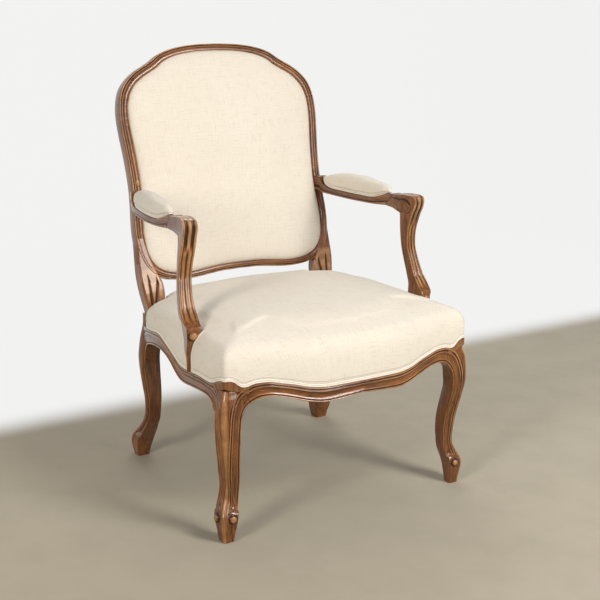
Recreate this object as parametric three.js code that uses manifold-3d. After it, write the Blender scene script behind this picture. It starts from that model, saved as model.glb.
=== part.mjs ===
// A carved armchair with a flat cartouche back, open arms with padded tops, an upholstered seat
// and four cabriole legs. Lengths are in millimetres, +Z is up, the front faces -Y and the middle
// plane is x = 0. A value whose name ends in share or shares is a part of the size it follows.

import * as THREE from 'three';
import { mergeVertices } from 'three/addons/utils/BufferGeometryUtils.js';
import Module from 'manifold-3d';

const wasm = await Module();
wasm.setup();

// Clearances and cutting
const gap = 0.3;
const overrun = 3;

// The chair's main widths and depths, which the pieces below follow
const openingHalfWidth = 231;
const cornerOut = 66;
const railCornerX = openingHalfWidth + cornerOut;
const railCornerForward = 278;
const sideRailSpan = 478;
const railEndBack = sideRailSpan - railCornerForward;

// Feet and legs
const frontFootIn = 11;
const frontFootX = railCornerX - frontFootIn;
const frontFootForward = 256;
const rearFootOut = 20;
const rearFootX = openingHalfWidth + rearFootOut;
const rearFootBehind = 55;
const rearFootBack = railEndBack + rearFootBehind;
const frontLegShoulder = 12;
const frontLegSweep = 16;
const frontLegSide = 42;
const rearLegSweep = 56;
const rearLegSide = 42;
const cornerRoundingShare = 0.3;
const innerRoundingShare = 0.12;

// Seat rails
const frameTop = 356;
const railDepth = 26;
const rebate = 6;
const railMiddleForward = 322;
const sideRailOut = 27;
const sideRailRearX = openingHalfWidth + sideRailOut;
const railArchHeight = 69;
const railArchFoot = 250;
const frontJointIn = 53;
const frontJointX = railCornerX - frontJointIn;
const frontSideJointForward = 228;
const rearSideJointBefore = 16;
const rearSideJointBack = railEndBack - rearSideJointBefore;
const rearJointIn = 26;
const rearJointX = openingHalfWidth - rearJointIn;
const rearRailBehind = 24;
const rearRailBack = railEndBack + rearRailBehind;
const rearRailBottom = 292;

// Tenons of the joints
const tenonLength = 26;
const tenonThickness = 9;
const tenonHeight = 26;
const tenonSetBack = 15;

// Back frame, drawn on its own leaning face
const backLeanDegrees = 13.15;
const backFaceBehind = 9.6;
const backFaceBack = railEndBack + backFaceBehind;
const openingBottom = 459.5;
const openingHeight = 489;
const frameWidth = 27;
const frameThickness = 34;
const frameRounding = 4;
const backRebateWidth = 7;
const backRebateDepth = 11;
const crestJoint = 330;
const bottomJointIn = 47;
const bottomJoint = openingHalfWidth - bottomJointIn;
const backTenonLength = 22;
const backTenonWidth = 13;

// Arms
const armRearOut = 12;
const armRearX = openingHalfWidth + armRearOut;
const armJointOut = 44;
const armJointX = openingHalfWidth + armJointOut;
const armJointForward = 25;
const armRearBehind = 50;
const armRearBack = railEndBack + armRearBehind;
const armDrop = 35;
const armEndRise = 42;
const armWidth = 34;
const armJointSlant = 0.9;
const armJointMiddleShare = 0.4;
const armTurnDegrees = 5;
const supportFootBelow = 39;
const supportBase = frameTop - supportFootBelow;
const supportHeight = 312;
const supportReach = 92;
const supportWidth = 30;
const dowelRadius = 4;
const dowelLength = 36;

// Fasteners
const screwRadius = 2.2;
const screwHeadRadius = 4.2;
const screwHeadHeight = 2.8;
const blockScrewLength = 42;
const blockScrewAway = 60;
const blockScrewSeat = 27;
const supportScrewLength = 88;
const supportScrewOut = 49;
const supportScrewX = openingHalfWidth + supportScrewOut;
const supportScrewForward = 115;
const supportScrewRecess = 9;
const armScrewLength = 45;
const armScrewOut = 9;
const armScrewX = openingHalfWidth + armScrewOut;
const armScrewRise = 17.4;
const armScrewRecess = 9;

// Corner blocks
const blockLeg = 92;
const blockHeight = 32;

// Cloth, cords and pads
const clothThickness = 2.4;
const clothInset = 1.7;
const clothRoom = 1.9;
const stuffRoom = 2.4;
const cordRadius = 2.2;
const seatCrownTop = 440;
const seatRollTop = 406;
const seatCornerDrop = 20;
const seatRearBehind = 16;
const seatRearBack = railEndBack + seatRearBehind;
const seatSideBefore = 42;
const seatSideEnd = railEndBack - seatSideBefore;
const seatNotchIn = 31;
const seatNotchX = openingHalfWidth - seatNotchIn;
const seatNotchBefore = 8;
const seatNotchBack = railEndBack - seatNotchBefore;
const cutRoom = 1.2;
const webWidth = 52;
const webThickness = 1.5;
const webSpacing = 140;
const webRowShare = 0.293;
const webMiddleBefore = 6;
const webMiddleForward = (railCornerForward - railEndBack) / 2 + webMiddleBefore;
const hessianThickness = 1;
const dustThickness = 1;
const dustInset = 0.5;
const backCrown = 26;
const backWebSpacing = 90;
const backCoverDepth = 14;
const armPadCrown = 41;
const armPadBulge = 6;
const armPadStartShare = 0.07;
const armPadEndShare = 0.92;

// Finishes
const finish = (color, roughness, metalness = 0) => (
  new THREE.MeshStandardMaterial({ color, roughness, metalness, flatShading: true }));
const walnut = finish(0x6b3f1f, 0.3);
const beech = finish(0xb08a5c, 0.7);
const linen = finish(0xe6d9bf, 0.95);
const foam = finish(0xe8dfa8, 1);
const jute = finish(0x9a7b4f, 1);
const cambric = finish(0x1c1b1a, 1);
const steel = finish(0xa8a49c, 0.35, 1);

const point = (x, y, z) => new THREE.Vector3(x, y, z);
const cordTurns = [0, 1, 2, 3, 4].map((k) => (Math.PI * 2 * k) / 5);

// Tables of shares. Legs: [height, sideways, backwards, side of the square section]
const frontLegShares = [
  [0, 0, 0, 0.57], [0.043, 0, 0, 0.66], [0.087, 0, -0.06, 0.76], [0.13, 0, -0.06, 0.86],
  [0.174, -0.14, 0.12, 0.91], [0.217, -0.48, 0.52, 0.82], [0.261, -0.77, 0.76, 0.745],
  [0.304, -0.9, 0.77, 0.725], [0.348, -0.96, 0.76, 0.745], [0.406, -0.91, 0.71, 0.785],
  [0.464, -0.82, 0.58, 0.82], [0.536, -0.63, 0.28, 0.865], [0.609, -0.43, -0.06, 0.9],
  [0.681, -0.27, -0.36, 0.93], [0.739, -0.24, -0.39, 1], [0.84, -0.35, -0.3, 1.02],
  [0.942, -0.6, -0.08, 1], [1, -0.62, -0.06, 1],
];
const rearLegShares = [
  [0, 0, 0.02, 0.7], [0.042, 0, 0.02, 0.83], [0.085, 0, -0.02, 0.96], [0.127, -0.02, -0.12, 1.01],
  [0.169, -0.05, -0.3, 0.97], [0.211, -0.09, -0.52, 0.87], [0.254, -0.13, -0.71, 0.77],
  [0.296, -0.155, -0.865, 0.745], [0.338, -0.17, -0.94, 0.72], [0.394, -0.177, -0.99, 0.735],
  [0.451, -0.177, -0.99, 0.785], [0.521, -0.166, -0.93, 0.86], [0.592, -0.155, -0.865, 0.91],
  [0.662, -0.145, -0.82, 0.945], [0.732, -0.15, -0.8, 0.96], [0.845, -0.25, -0.8, 0.95],
  [0.93, -0.37, -0.8, 0.93], [1, -0.4, -0.8, 0.95],
];
// Front rail: [half width, bow, lower edge in the arch, top of the moulding in the arch]
const frontRailShares = [
  [0, 1, 0.48, 0.855], [0.155, 0.98, 0.435, 0.855], [0.31, 0.91, 0.405, 0.855], [0.42, 0.76, 0.48, 0.91],
  [0.52, 0.58, 0.6, 1.02], [0.61, 0.42, 0.7, 1.1], [0.68, 0.31, 0.74, 1.165], [0.74, 0.22, 0.73, 1.175],
  [0.79, 0.16, 0.665, 1.16], [0.828, 0.11, 0.55, 1.11], [0.858, 0.08, 0.36, 1.1], [0.88, 0.06, 0.12, 1.13],
  [0.93, 0.03, -0.25, 1.3], [1, 0, -0.35, 1.37],
];
// Side rail: [way from front to rear, bulge, lower edge in the arch, top of the moulding in the arch]
const sideRailShares = [
  [0, 0, -0.35, 1.37], [0.05, 0.1, -0.25, 1.28], [0.08, 0.16, 0.06, 1.2], [0.095, 0.2, 0.3, 1.15],
  [0.115, 0.25, 0.49, 1.1], [0.145, 0.31, 0.6, 1.06], [0.19, 0.4, 0.625, 1.045], [0.25, 0.5, 0.595, 1.035],
  [0.33, 0.62, 0.54, 0.98], [0.41, 0.74, 0.48, 0.94], [0.46, 0.82, 0.5, 0.96], [0.51, 0.88, 0.62, 1.07],
  [0.575, 0.95, 0.84, 1.22], [0.64, 0.98, 0.96, 1.35], [0.71, 1, 1, 1.46], [0.8, 0.95, 0.94, 1.4],
  [0.87, 0.8, 0.83, 1.33], [0.92, 0.6, 0.68, 1.29], [0.955, 0.4, 0.4, 1.26], [0.98, 0.2, 0.06, 1.25],
  [1, 0, -0.25, 1.25],
];
// Opening of the back, from the top middle down to the bottom middle: [half width, height, moulding width]
const openingShares = [
  [0, 1, 0.82], [0.2, 0.997, 0.82], [0.36, 0.988, 0.84], [0.49, 0.973, 0.87], [0.584, 0.953, 0.92],
  [0.649, 0.929, 0.96], [0.736, 0.905, 0.96], [0.823, 0.882, 0.97], [0.896, 0.854, 0.99], [0.957, 0.815, 1.02],
  [0.99, 0.768, 1], [1, 0.715, 1], [0.993, 0.64, 1], [0.977, 0.555, 1], [0.965, 0.463, 1],
  [0.961, 0.379, 1], [0.97, 0.295, 1], [0.987, 0.211, 0.98], [0.991, 0.148, 0.95], [0.978, 0.085, 0.9],
  [0.944, 0.043, 0.86], [0.887, 0.012, 0.84], [0.8, -0.008, 0.82], [0.671, -0.018, 0.8],
  [0.541, -0.018, 0.8], [0.39, -0.0105, 0.8], [0.238, -0.003, 0.8], [0, 0, 0.8],
];
// Lower stile, on the back's face: [height below the opening as a share of its height, inner edge, outer edge]
const lowerStileShares = [
  [-0.25, 0.925, 1.065], [-0.215, 0.92, 1.06], [-0.175, 0.895, 1.073], [-0.125, 0.875, 1.092],
  [-0.065, 0.885, 1.108], [-0.01, 0.93, 1.112], [0.05, 0.98, 1.106], [0.1, 1.01, 1.1], [0.15, 1.03, 1.097],
];
// Arm support, seen from the side: [front reach, front height, back reach, back height, width, outward shift]
const supportShares = [
  [1.043, 0.006, 0.978, 0.006, 0.67, 0.15], [1.065, 0.08, 0.94, 0.08, 0.67, 0.15],
  [1.087, 0.138, 0.848, 0.138, 0.9, 0.07], [1.174, 0.208, 0.826, 0.208, 1.03, 0.02],
  [1.239, 0.272, 0.793, 0.272, 1.07, 0.05], [1.261, 0.308, 0.761, 0.317, 1.05, 0.1],
  [1.1, 0.362, 0.74, 0.362, 1.14, 0.19], [0.93, 0.426, 0.65, 0.426, 1.06, 0.2],
  [0.845, 0.478, 0.58, 0.478, 0.98, 0.18], [0.782, 0.529, 0.52, 0.529, 0.93, 0.145],
  [0.7, 0.619, 0.457, 0.619, 0.92, 0.055], [0.713, 0.715, 0.45, 0.715, 0.98, -0.04],
  [0.81, 0.811, 0.467, 0.811, 1.02, -0.12], [0.92, 0.893, 0.467, 0.865, 1.03, -0.12],
  [0.972, 0.923, 0.462, 0.87, 1.02, -0.12], [1.003, 0.96, 0.435, 0.875, 1.02, -0.12],
  [0.982, 0.989, 0.391, 0.878, 1.02, -0.11], [0.89, 1.005, 0.293, 0.885, 1.01, -0.1],
  [0.7, 1.01, 0.174, 0.893, 1, -0.08], [0.42, 1.004, 0, 0.897, 1, -0.04],
  [0.157, 0.993, -0.13, 0.899, 0.98, 0],
];
// Armrest from the stile to the joint: [way, sideways, top, bottom, width, slant of the end]
const armrestShares = [
  [0, 0, 1, 0.19, 0.85, 0], [0.06, 0.13, 0.98, 0.14, 0.9, 0], [0.12, 0.24, 0.6, 0.1, 1.05, 0],
  [0.22, 0.4, 0.44, 0.08, 1.25, 0], [0.4, 0.63, 0.4, 0.04, 1.35, 0], [0.6, 0.82, 0.38, 0.02, 1.35, 0],
  [0.78, 0.94, 0.39, 0.03, 1.2, 0], [0.88, 0.98, 0.55, 0.06, 1.05, 0], [0.96, 1, 0.76, 0.08, 0.9, 0.7],
  [1, 1, 0.79, 0.09, 0.88, 1],
];

// Section of an arm pad above its foot: [half width, height]
const padSectionShares = [[1, 0.22], [1, 0.45], [0.86, 0.75], [0.52, 0.95]];
// Levels of the back's crown: [outline, crown]
const backLevelShares = [
  [1, 0], [0.985, 0.22], [0.955, 0.42], [0.9, 0.6], [0.8, 0.78], [0.6, 0.93], [0.35, 0.99], [0, 1],
];
// Levels of the seat: [outline, height up to the roll, and past 1 from the roll to the crown]
const seatLevelShares = [
  [1, 0], [1.003, 0.4], [0.99, 0.75], [0.955, 0.96], [0.88, 1.24], [0.75, 1.56], [0.5, 1.87], [0, 2],
];
// Where the seat turns in before a stile: [way to the notch across, way back, drop of the roll]
const seatTurnShares = [
  [0.06, 0.25, 0.8], [0.19, 0.45, 1], [0.38, 0.68, 1], [0.68, 0.9, 0.8], [1, 1, 0.3],
];
// Rear edge of the seat: [place from the middle to the notch, drop of the roll]
const seatRearShares = [[1, 0.2], [0.8, -0.1], [0.45, -0.35], [0, -0.5]];

// A smooth curve through the rows of a table whose first column grows
function rowAt(rows, key) {
  let i = 0;
  while (i < rows.length - 2 && key > rows[i + 1][0]) i += 1;
  const slope = (j, column) => {
    const before = rows[Math.max(j - 1, 0)];
    const after = rows[Math.min(j + 1, rows.length - 1)];
    return (after[column] - before[column]) / (after[0] - before[0]);
  };
  const span = rows[i + 1][0] - rows[i][0];
  const t = THREE.MathUtils.clamp((key - rows[i][0]) / span, 0, 1);
  const early = 2 * t ** 3 - 3 * t ** 2 + 1;
  const late = 1 - early;
  const leave = (t ** 3 - 2 * t ** 2 + t) * span;
  const arrive = (t ** 3 - t ** 2) * span;
  return rows[i].map((value, column) => (
    value * early + rows[i + 1][column] * late + slope(i, column) * leave + slope(i + 1, column) * arrive));
}

// Closed solids from rings of points, all with the same number of points
function capFaces(ring, first) {
  const normal = point(0, 0, 0);
  ring.forEach((p, k) => {
    const q = ring[(k + 1) % ring.length];
    normal.x += (p.y - q.y) * (p.z + q.z);
    normal.y += (p.z - q.z) * (p.x + q.x);
    normal.z += (p.x - q.x) * (p.y + q.y);
  });
  if (normal.length() === 0) return [];
  normal.normalize();
  const across = point(normal.z, normal.x, normal.y).cross(normal).normalize();
  const up = normal.clone().cross(across);
  const flat = ring.map((p) => new THREE.Vector2(p.dot(across), p.dot(up)));
  return THREE.ShapeUtils.triangulateShape(flat, []).flat().map((k) => k + first);
}

function shell(rings, closed = false) {
  const around = rings[0].length;
  const faces = [];
  const last = closed ? rings.length : rings.length - 1;
  for (let i = 0; i < last; i += 1) {
    const here = i * around;
    const there = ((i + 1) % rings.length) * around;
    for (let j = 0; j < around; j += 1) {
      const k = (j + 1) % around;
      faces.push(here + j, here + k, there + k, here + j, there + k, there + j);
    }
  }
  if (!closed) {
    const start = capFaces(rings[0], 0);
    const end = capFaces(rings[rings.length - 1], (rings.length - 1) * around);
    faces.push(...start.reverse(), ...end);
  }
  const geometry = new THREE.BufferGeometry();
  const places = rings.flat().flatMap((p) => p.toArray());
  geometry.setAttribute('position', new THREE.Float32BufferAttribute(places, 3));
  geometry.setIndex(faces);
  return asSolid(geometry);
}

function asSolid(source) {
  let geometry = source.index ? source.clone() : source;
  geometry.deleteAttribute('normal');
  geometry.deleteAttribute('uv');
  geometry = mergeVertices(geometry, gap / 100);
  const places = geometry.attributes.position;
  const corner = (k) => point(0, 0, 0).fromBufferAttribute(places, k);
  const faces = [];
  let volume = 0;
  for (let k = 0; k < geometry.index.count; k += 3) {
    const [a, b, c] = [0, 1, 2].map((n) => geometry.index.getX(k + n));
    if (a !== b && b !== c && c !== a) {
      faces.push(a, b, c);
      volume += corner(a).dot(corner(b).cross(corner(c)));
    }
  }
  if (volume < 0) faces.reverse();
  return new wasm.Manifold(new wasm.Mesh({
    numProp: 3,
    vertProperties: Float32Array.from(places.array),
    triVerts: Uint32Array.from(faces),
  }));
}

function boxSolid(low, high) {
  const size = high.clone().sub(low);
  const geometry = new THREE.BoxGeometry(Math.abs(size.x), Math.abs(size.y), Math.abs(size.z));
  const middle = low.clone().add(high).multiplyScalar(0.5);
  return asSolid(geometry.translate(middle.x, middle.y, middle.z));
}

function asMesh(name, solidBody, material) {
  const mesh = solidBody.getMesh();
  const geometry = new THREE.BufferGeometry();
  const places = new Float32Array(mesh.numVert * 3);
  for (let k = 0; k < mesh.numVert; k += 1) {
    for (let n = 0; n < 3; n += 1) places[k * 3 + n] = mesh.vertProperties[k * mesh.numProp + n];
  }
  geometry.setAttribute('position', new THREE.BufferAttribute(places, 3));
  geometry.setIndex(Array.from(mesh.triVerts));
  geometry.computeVertexNormals();
  const result = new THREE.Mesh(geometry, material);
  result.name = name;
  return result;
}

const chair = new THREE.Group();
const add = (name, solidBody, material) => chair.add(asMesh(name, solidBody, material));
const sides = [[-1, 'left'], [1, 'right']];

// Legs: a square section with rounded corners, whose outer corner is the rounder one
function squareRing(x, y, z, side, outwardX, outwardY) {
  const ring = [];
  const corners = [[1, 1], [-1, 1], [-1, -1], [1, -1]];
  for (const [qx, qy] of corners) {
    const outer = qx === outwardX && qy === outwardY;
    const radius = side * (outer ? cornerRoundingShare : innerRoundingShare);
    const steps = outer ? 4 : 2;
    const start = Math.atan2(qy, qx) - Math.PI / 4;
    for (let k = 0; k < steps; k += 1) {
      const angle = start + (Math.PI / 2) * (k / (steps - 1));
      const reach = side / 2 - radius;
      ring.push(point(x + qx * reach + radius * Math.cos(angle), y + qy * reach + radius * Math.sin(angle), z));
    }
  }
  return ring;
}

function legCore(side, front, extra) {
  const rows = front ? frontLegShares : rearLegShares;
  const height = front ? frameTop - frontLegShoulder : frameTop;
  const sweep = front ? frontLegSweep : rearLegSweep;
  const width = front ? frontLegSide : rearLegSide;
  const footX = front ? frontFootX : rearFootX;
  const footY = front ? -frontFootForward : rearFootBack;
  const rings = rows.map(([up, out, back, size]) => squareRing(
    side * (footX + out * sweep), footY + back * sweep, up * height,
    size * width + 2 * extra, side, front ? -1 : 1));
  const head = rings[rings.length - 1].map((p) => p.clone().setZ(frameTop + extra));
  return shell(front ? [...rings, head] : rings);
}

// Stations on the outer edge of the seat frame, with the levels of the wood there
const archLevels = ([, , low, mould]) => ({
  low: railArchFoot + low * railArchHeight,
  mould: railArchFoot + mould * railArchHeight,
});

function frontStation(x) {
  const place = (way) => {
    const [, bow] = rowAt(frontRailShares, Math.abs(way) / railCornerX);
    return point(way, -railCornerForward - bow * (railMiddleForward - railCornerForward), 0);
  };
  const along = place(x + overrun).sub(place(x - overrun)).normalize();
  return {
    outer: place(x),
    inward: point(-along.y, along.x, 0),
    ...archLevels(rowAt(frontRailShares, Math.abs(x) / railCornerX)),
  };
}

function sideRailPlace(y) {
  const way = (y + railCornerForward) / sideRailSpan;
  const [, bulge] = rowAt(sideRailShares, way);
  return railCornerX + (sideRailRearX - railCornerX) * way + bulge * rebate * 2;
}

function sideStation(side, y) {
  const place = (way) => point(side * sideRailPlace(way), way, 0);
  const along = place(y + overrun).sub(place(y - overrun)).normalize();
  return {
    outer: place(y),
    inward: point(-along.y, along.x, 0).multiplyScalar(side),
    ...archLevels(rowAt(sideRailShares, (y + railCornerForward) / sideRailSpan)),
  };
}

// The front corner is rounded as the leg below it is
const cornerRadius = frontLegSide * cornerRoundingShare;

function cornerStation(side, share) {
  const from = frontStation(side * (railCornerX - cornerRadius));
  const to = sideStation(side, -railCornerForward + cornerRadius);
  const corner = point(side * railCornerX, -railCornerForward, 0);
  const curve = new THREE.QuadraticBezierCurve3(from.outer, corner, to.outer);
  const along = curve.getTangent(share);
  return {
    outer: curve.getPoint(share),
    inward: point(-along.y, along.x, 0).multiplyScalar(side),
    low: from.low,
    mould: THREE.MathUtils.lerp(from.mould, to.mould, share),
  };
}

function steps(from, to, count) {
  return Array.from({ length: count + 1 }, (_, k) => from + (to - from) * (k / count));
}

// Where the rails' shapes are given: along each rail, and on into the legs that they meet
const frontWays = steps(0, frontJointX, 12);
const sideWays = steps(-frontSideJointForward, rearSideJointBack, 22);
const legFrontWays = steps(frontJointX + gap, railCornerX - cornerRadius, 5);
const legSideWays = steps(-railCornerForward + cornerRadius, -frontSideJointForward - gap, 5);
const uprightWays = steps(rearSideJointBack + gap, rearFootBack - rearLegSweep, 4);
const cornerShares = [0.25, 0.5, 0.75];

const atDepth = (station, depth, z) => station.outer.clone().addScaledVector(station.inward, depth).setZ(z);

// Rails: the moulded face stands a rebate proud of the tacking edge above it
function railRing(station, extra) {
  const { low, mould } = station;
  return [
    atDepth(station, -extra, low - extra), atDepth(station, -extra, mould + extra),
    atDepth(station, rebate - extra, mould + extra), atDepth(station, rebate - extra, frameTop + extra),
    atDepth(station, railDepth + extra, frameTop + extra), atDepth(station, railDepth + extra, low - extra),
  ];
}

const frontRailPart = (ways, extra = 0) => shell(ways.map((x) => railRing(frontStation(x), extra)));
const sideRailPart = (side, ways, extra = 0) => shell(ways.map((y) => railRing(sideStation(side, y), extra)));
const rearRailPart = (from, to, extra = 0) => boxSolid(
  point(from, rearRailBack - railDepth - extra, rearRailBottom - extra),
  point(to, rearRailBack + extra, frameTop + extra));

// What is cut from the head of a front leg, so that the tacking edge runs on round the corner
function rebateRound(side) {
  const stations = [
    ...frontWays.slice(-2, -1).concat(legFrontWays).map((x) => frontStation(side * x)),
    ...cornerShares.map((share) => cornerStation(side, share)),
    ...legSideWays.concat(sideWays[1]).map((y) => sideStation(side, y)),
  ];
  return shell(stations.map((station) => [
    atDepth(station, -overrun, station.mould), atDepth(station, rebate, station.mould),
    atDepth(station, rebate, frameTop + overrun), atDepth(station, -overrun, frameTop + overrun),
  ]));
}

// Tenons: a block on the rail's end, rooted well inside its slanting end face, and a grown one
// cut from the leg
const tenonLow = (rearRailBottom + frameTop - tenonHeight) / 2;
const tenonTop = tenonLow + tenonHeight;

function frontTenon(side, extra) {
  const face = frontStation(frontJointX).outer.y + tenonSetBack;
  return boxSolid(
    point(side * (frontJointX - tenonSetBack), face - tenonThickness / 2 - extra, tenonLow - extra),
    point(side * (frontJointX + tenonLength + extra), face + tenonThickness / 2 + extra, tenonTop + extra));
}

function sideTenon(side, front, extra) {
  const joint = front ? -frontSideJointForward : rearSideJointBack;
  const way = front ? -1 : 1;
  const middle = sideRailPlace(joint) - tenonSetBack;
  return boxSolid(
    point(side * (middle - tenonThickness / 2 - extra), joint - way * tenonSetBack, tenonLow - extra),
    point(side * (middle + tenonThickness / 2 + extra), joint + way * (tenonLength + extra), tenonTop + extra));
}

function rearTenon(side, extra) {
  const middle = rearRailBack - railDepth / 2;
  return boxSolid(
    point(side * (rearJointX - tenonSetBack), middle - tenonThickness / 2 - extra, tenonLow - extra),
    point(side * (rearJointX + tenonLength + extra), middle + tenonThickness / 2 + extra, tenonTop + extra));
}

// Back: the frame is drawn flat, then leans about the bottom of the opening
const lean = new THREE.Matrix4().makeTranslation(0, backFaceBack, openingBottom)
  .multiply(new THREE.Matrix4().makeRotationX(-THREE.MathUtils.degToRad(backLeanDegrees)));
const onBack = (u, v, w) => point(u, w, v).applyMatrix4(lean);

const openingPlaces = openingShares.map(([u, v, wide]) => (
  point(u * openingHalfWidth, v * openingHeight, wide * frameWidth)));
const halfOpening = new THREE.CatmullRomCurve3(openingPlaces, false, 'centripetal');

// Stations round the opening: place, outward direction and moulding width
function openingStations(count) {
  const half = Array.from({ length: count + 1 }, (_, k) => halfOpening.getPoint(k / count));
  const loop = [...half, ...half.slice(1, -1).reverse().map((p) => point(-p.x, p.y, p.z))];
  return loop.map((p, k) => {
    const before = loop[(k + loop.length - 1) % loop.length];
    const after = loop[(k + 1) % loop.length];
    const along = new THREE.Vector2(after.x - before.x, after.y - before.y).normalize();
    return { u: p.x, v: p.y, width: p.z, outU: -along.y, outV: along.x };
  });
}
const backStations = openingStations(24);

// A section given as [distance outwards, depth] pairs, swept round the opening
function roundOpening(section) {
  return shell(backStations.map((s) => section(s.width).map(([out, depth]) => (
    onBack(s.u + s.outU * out, s.v + s.outV * out, depth)))), true);
}

// The frame is rebated behind, where the webbing and the outer cloth are tacked
const backFrameWith = (extra) => roundOpening((width) => [
  [-extra, frameThickness - backRebateDepth + extra], [-extra, frameRounding], [frameRounding, -extra],
  [width / 2, -extra], [width - frameRounding, frameRounding - extra], [width + extra, frameRounding * 2],
  [width + extra, frameThickness - frameRounding], [width - frameRounding, frameThickness + extra],
  [backRebateWidth - extra, frameThickness + extra],
  [backRebateWidth - extra, frameThickness - backRebateDepth + extra],
]);
const backFrame = backFrameWith(0);

const insideOpening = (out, near, far) => shell([near, far].map((depth) => (
  backStations.map((s) => onBack(s.u + s.outU * out, s.v + s.outV * out, depth)))));

function backBlock(u0, u1, v0, v1, w0, w1) {
  const corners = [[u0, v0], [u1, v0], [u1, v1], [u0, v1]];
  return shell([w0, w1].map((w) => corners.map(([u, v]) => onBack(u, v, w))));
}

const farOut = openingHalfWidth * 2;
const farUp = openingHeight * 2;

function crestTenon(side, extra) {
  const stileShares = openingShares.slice(9, 13).map(([u, v]) => [-v, u]);
  const [, inner] = rowAt(stileShares, -crestJoint / openingHeight);
  const middle = side * (inner * openingHalfWidth + frameWidth / 2);
  const deep = frameThickness / 2;
  return backBlock(
    middle - backTenonWidth / 2 - extra, middle + backTenonWidth / 2 + extra, crestJoint - overrun,
    crestJoint + backTenonLength + extra, deep - tenonThickness / 2 - extra, deep + tenonThickness / 2 + extra);
}

function bottomTenon(side, extra) {
  const middle = -frameWidth * 0.7;
  const deep = frameThickness / 2;
  return backBlock(
    side * (bottomJoint - overrun), side * (bottomJoint + backTenonLength + extra),
    middle - backTenonWidth / 2 - extra, middle + backTenonWidth / 2 + extra,
    deep - tenonThickness / 2 - extra, deep + tenonThickness / 2 + extra);
}

function lowerStile(side, extra) {
  const round = frameRounding;
  return shell(lowerStileShares.map(([up, inner, outer]) => {
    const [a, b] = [inner * openingHalfWidth - extra, outer * openingHalfWidth + extra];
    const [front, rear] = [-extra, frameThickness + extra];
    return [[a, front + round], [a + round, front], [b - round, front], [b, front + round], [b, rear - round],
      [b - round, rear], [a + round, rear], [a, rear - round]]
      .map(([u, w]) => onBack(side * u, up * openingHeight, w));
  }));
}

function stilePart(side) {
  return backFrame.intersect(backBlock(side * bottomJoint, side * farOut, -farUp, crestJoint, -farOut, farOut));
}

// Arms: a support with its knuckle, and the armrest that it is glued to
const armTurn = THREE.MathUtils.degToRad(armTurnDegrees);
const armUnderside = supportBase + supportHeight - armDrop;

// Reach is forwards from the joint, shift is outwards
function armPoint(side, reach, shift, z) {
  return point(
    side * (armJointX + reach * Math.sin(armTurn) + shift * Math.cos(armTurn)),
    -armJointForward - reach * Math.cos(armTurn) + shift * Math.sin(armTurn), z);
}

function supportSolid(side, extra) {
  const rings = supportShares.map(([frontReach, frontUp, backReach, backUp, wide, out]) => {
    const half = (wide * supportWidth) / 2 + extra;
    const lap = out * supportWidth;
    const front = [frontReach * supportReach, supportBase + frontUp * supportHeight];
    const back = [backReach * supportReach, supportBase + backUp * supportHeight];
    const length = Math.hypot(front[0] - back[0], front[1] - back[1]);
    const at = (share, shift) => armPoint(
      side, back[0] + (front[0] - back[0]) * share, shift + lap, back[1] + (front[1] - back[1]) * share);
    const round = Math.min(frameRounding / length, 1 / 4);
    const grow = extra / length;
    return [
      at(1 + grow, -half + frameRounding), at(1 + grow, half - frameRounding), at(1 + grow - round, half),
      at(-grow + round, half), at(-grow, half - frameRounding), at(-grow, -half + frameRounding),
      at(-grow + round, -half), at(1 + grow - round, -half),
    ];
  });
  return shell(rings);
}

function roundPeg(radius, length, sections, from, direction) {
  const geometry = new THREE.CylinderGeometry(radius, radius, length, sections);
  geometry.translate(0, length / 2, 0);
  const turn = new THREE.Quaternion().setFromUnitVectors(point(0, 1, 0), direction.clone().normalize());
  geometry.applyQuaternion(turn);
  return asSolid(geometry.translate(from.x, from.y, from.z));
}

// Armrest: its places along the way from the stile to the joint, the pad's ends among them
const armSpan = armRearBack + armJointForward;
const padWays = steps(armPadStartShare, armPadEndShare, 12);
const armWays = [0, armPadStartShare / 2, ...padWays, (armPadEndShare + 1) / 2, 1];

function armRow(way) {
  const [, out, top, low, wide, slant] = rowAt(armrestShares, way);
  return {
    x: armRearX + (armJointX - armRearX) * out,
    y: armRearBack - armSpan * way,
    top: armUnderside + top * armEndRise,
    low: armUnderside + low * armEndRise,
    half: (wide * armWidth) / 2,
    slant,
  };
}

function armrestSolid(side) {
  const jointMiddle = armUnderside + armEndRise * armJointMiddleShare;
  return shell(armWays.map((way) => {
    const { x, y, top, low, half, slant } = armRow(way);
    const round = Math.min(frameRounding, (top - low) / 3);
    const ease = round / 2;
    return [[-half, low + round], [-half + round, low], [half - round, low], [half, low + round],
      [half, top - ease], [half - ease, top], [-half + ease, top], [-half, top - ease]]
      .map(([shift, z]) => point(side * (x + shift), y - slant * armJointSlant * (z - jointMiddle), z));
  }));
}

// All that lies before the slanting joint of armrest and knuckle
function beforeJoint(side, back) {
  const [topReach, topUp, lowReach, lowUp] = supportShares[supportShares.length - 1];
  const at = (share, offset, shift) => armPoint(
    side, THREE.MathUtils.lerp(lowReach, topReach, share) * supportReach + offset, shift,
    supportBase + THREE.MathUtils.lerp(lowUp, topUp, share) * supportHeight);
  return shell([-back, supportReach].map((offset) => [
    at(-1, offset, -armWidth), at(-1, offset, armWidth), at(2, offset, armWidth), at(2, offset, -armWidth)]));
}

function jointDowel(side, radius, length) {
  const middle = armPoint(side, 0, 0, armUnderside + armEndRise * armJointMiddleShare);
  const direction = armPoint(side, length, 0, 0).sub(armPoint(side, 0, 0, 0)).normalize();
  return roundPeg(radius, length, 10, middle.clone().addScaledVector(direction, -length / 2), direction);
}

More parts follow.
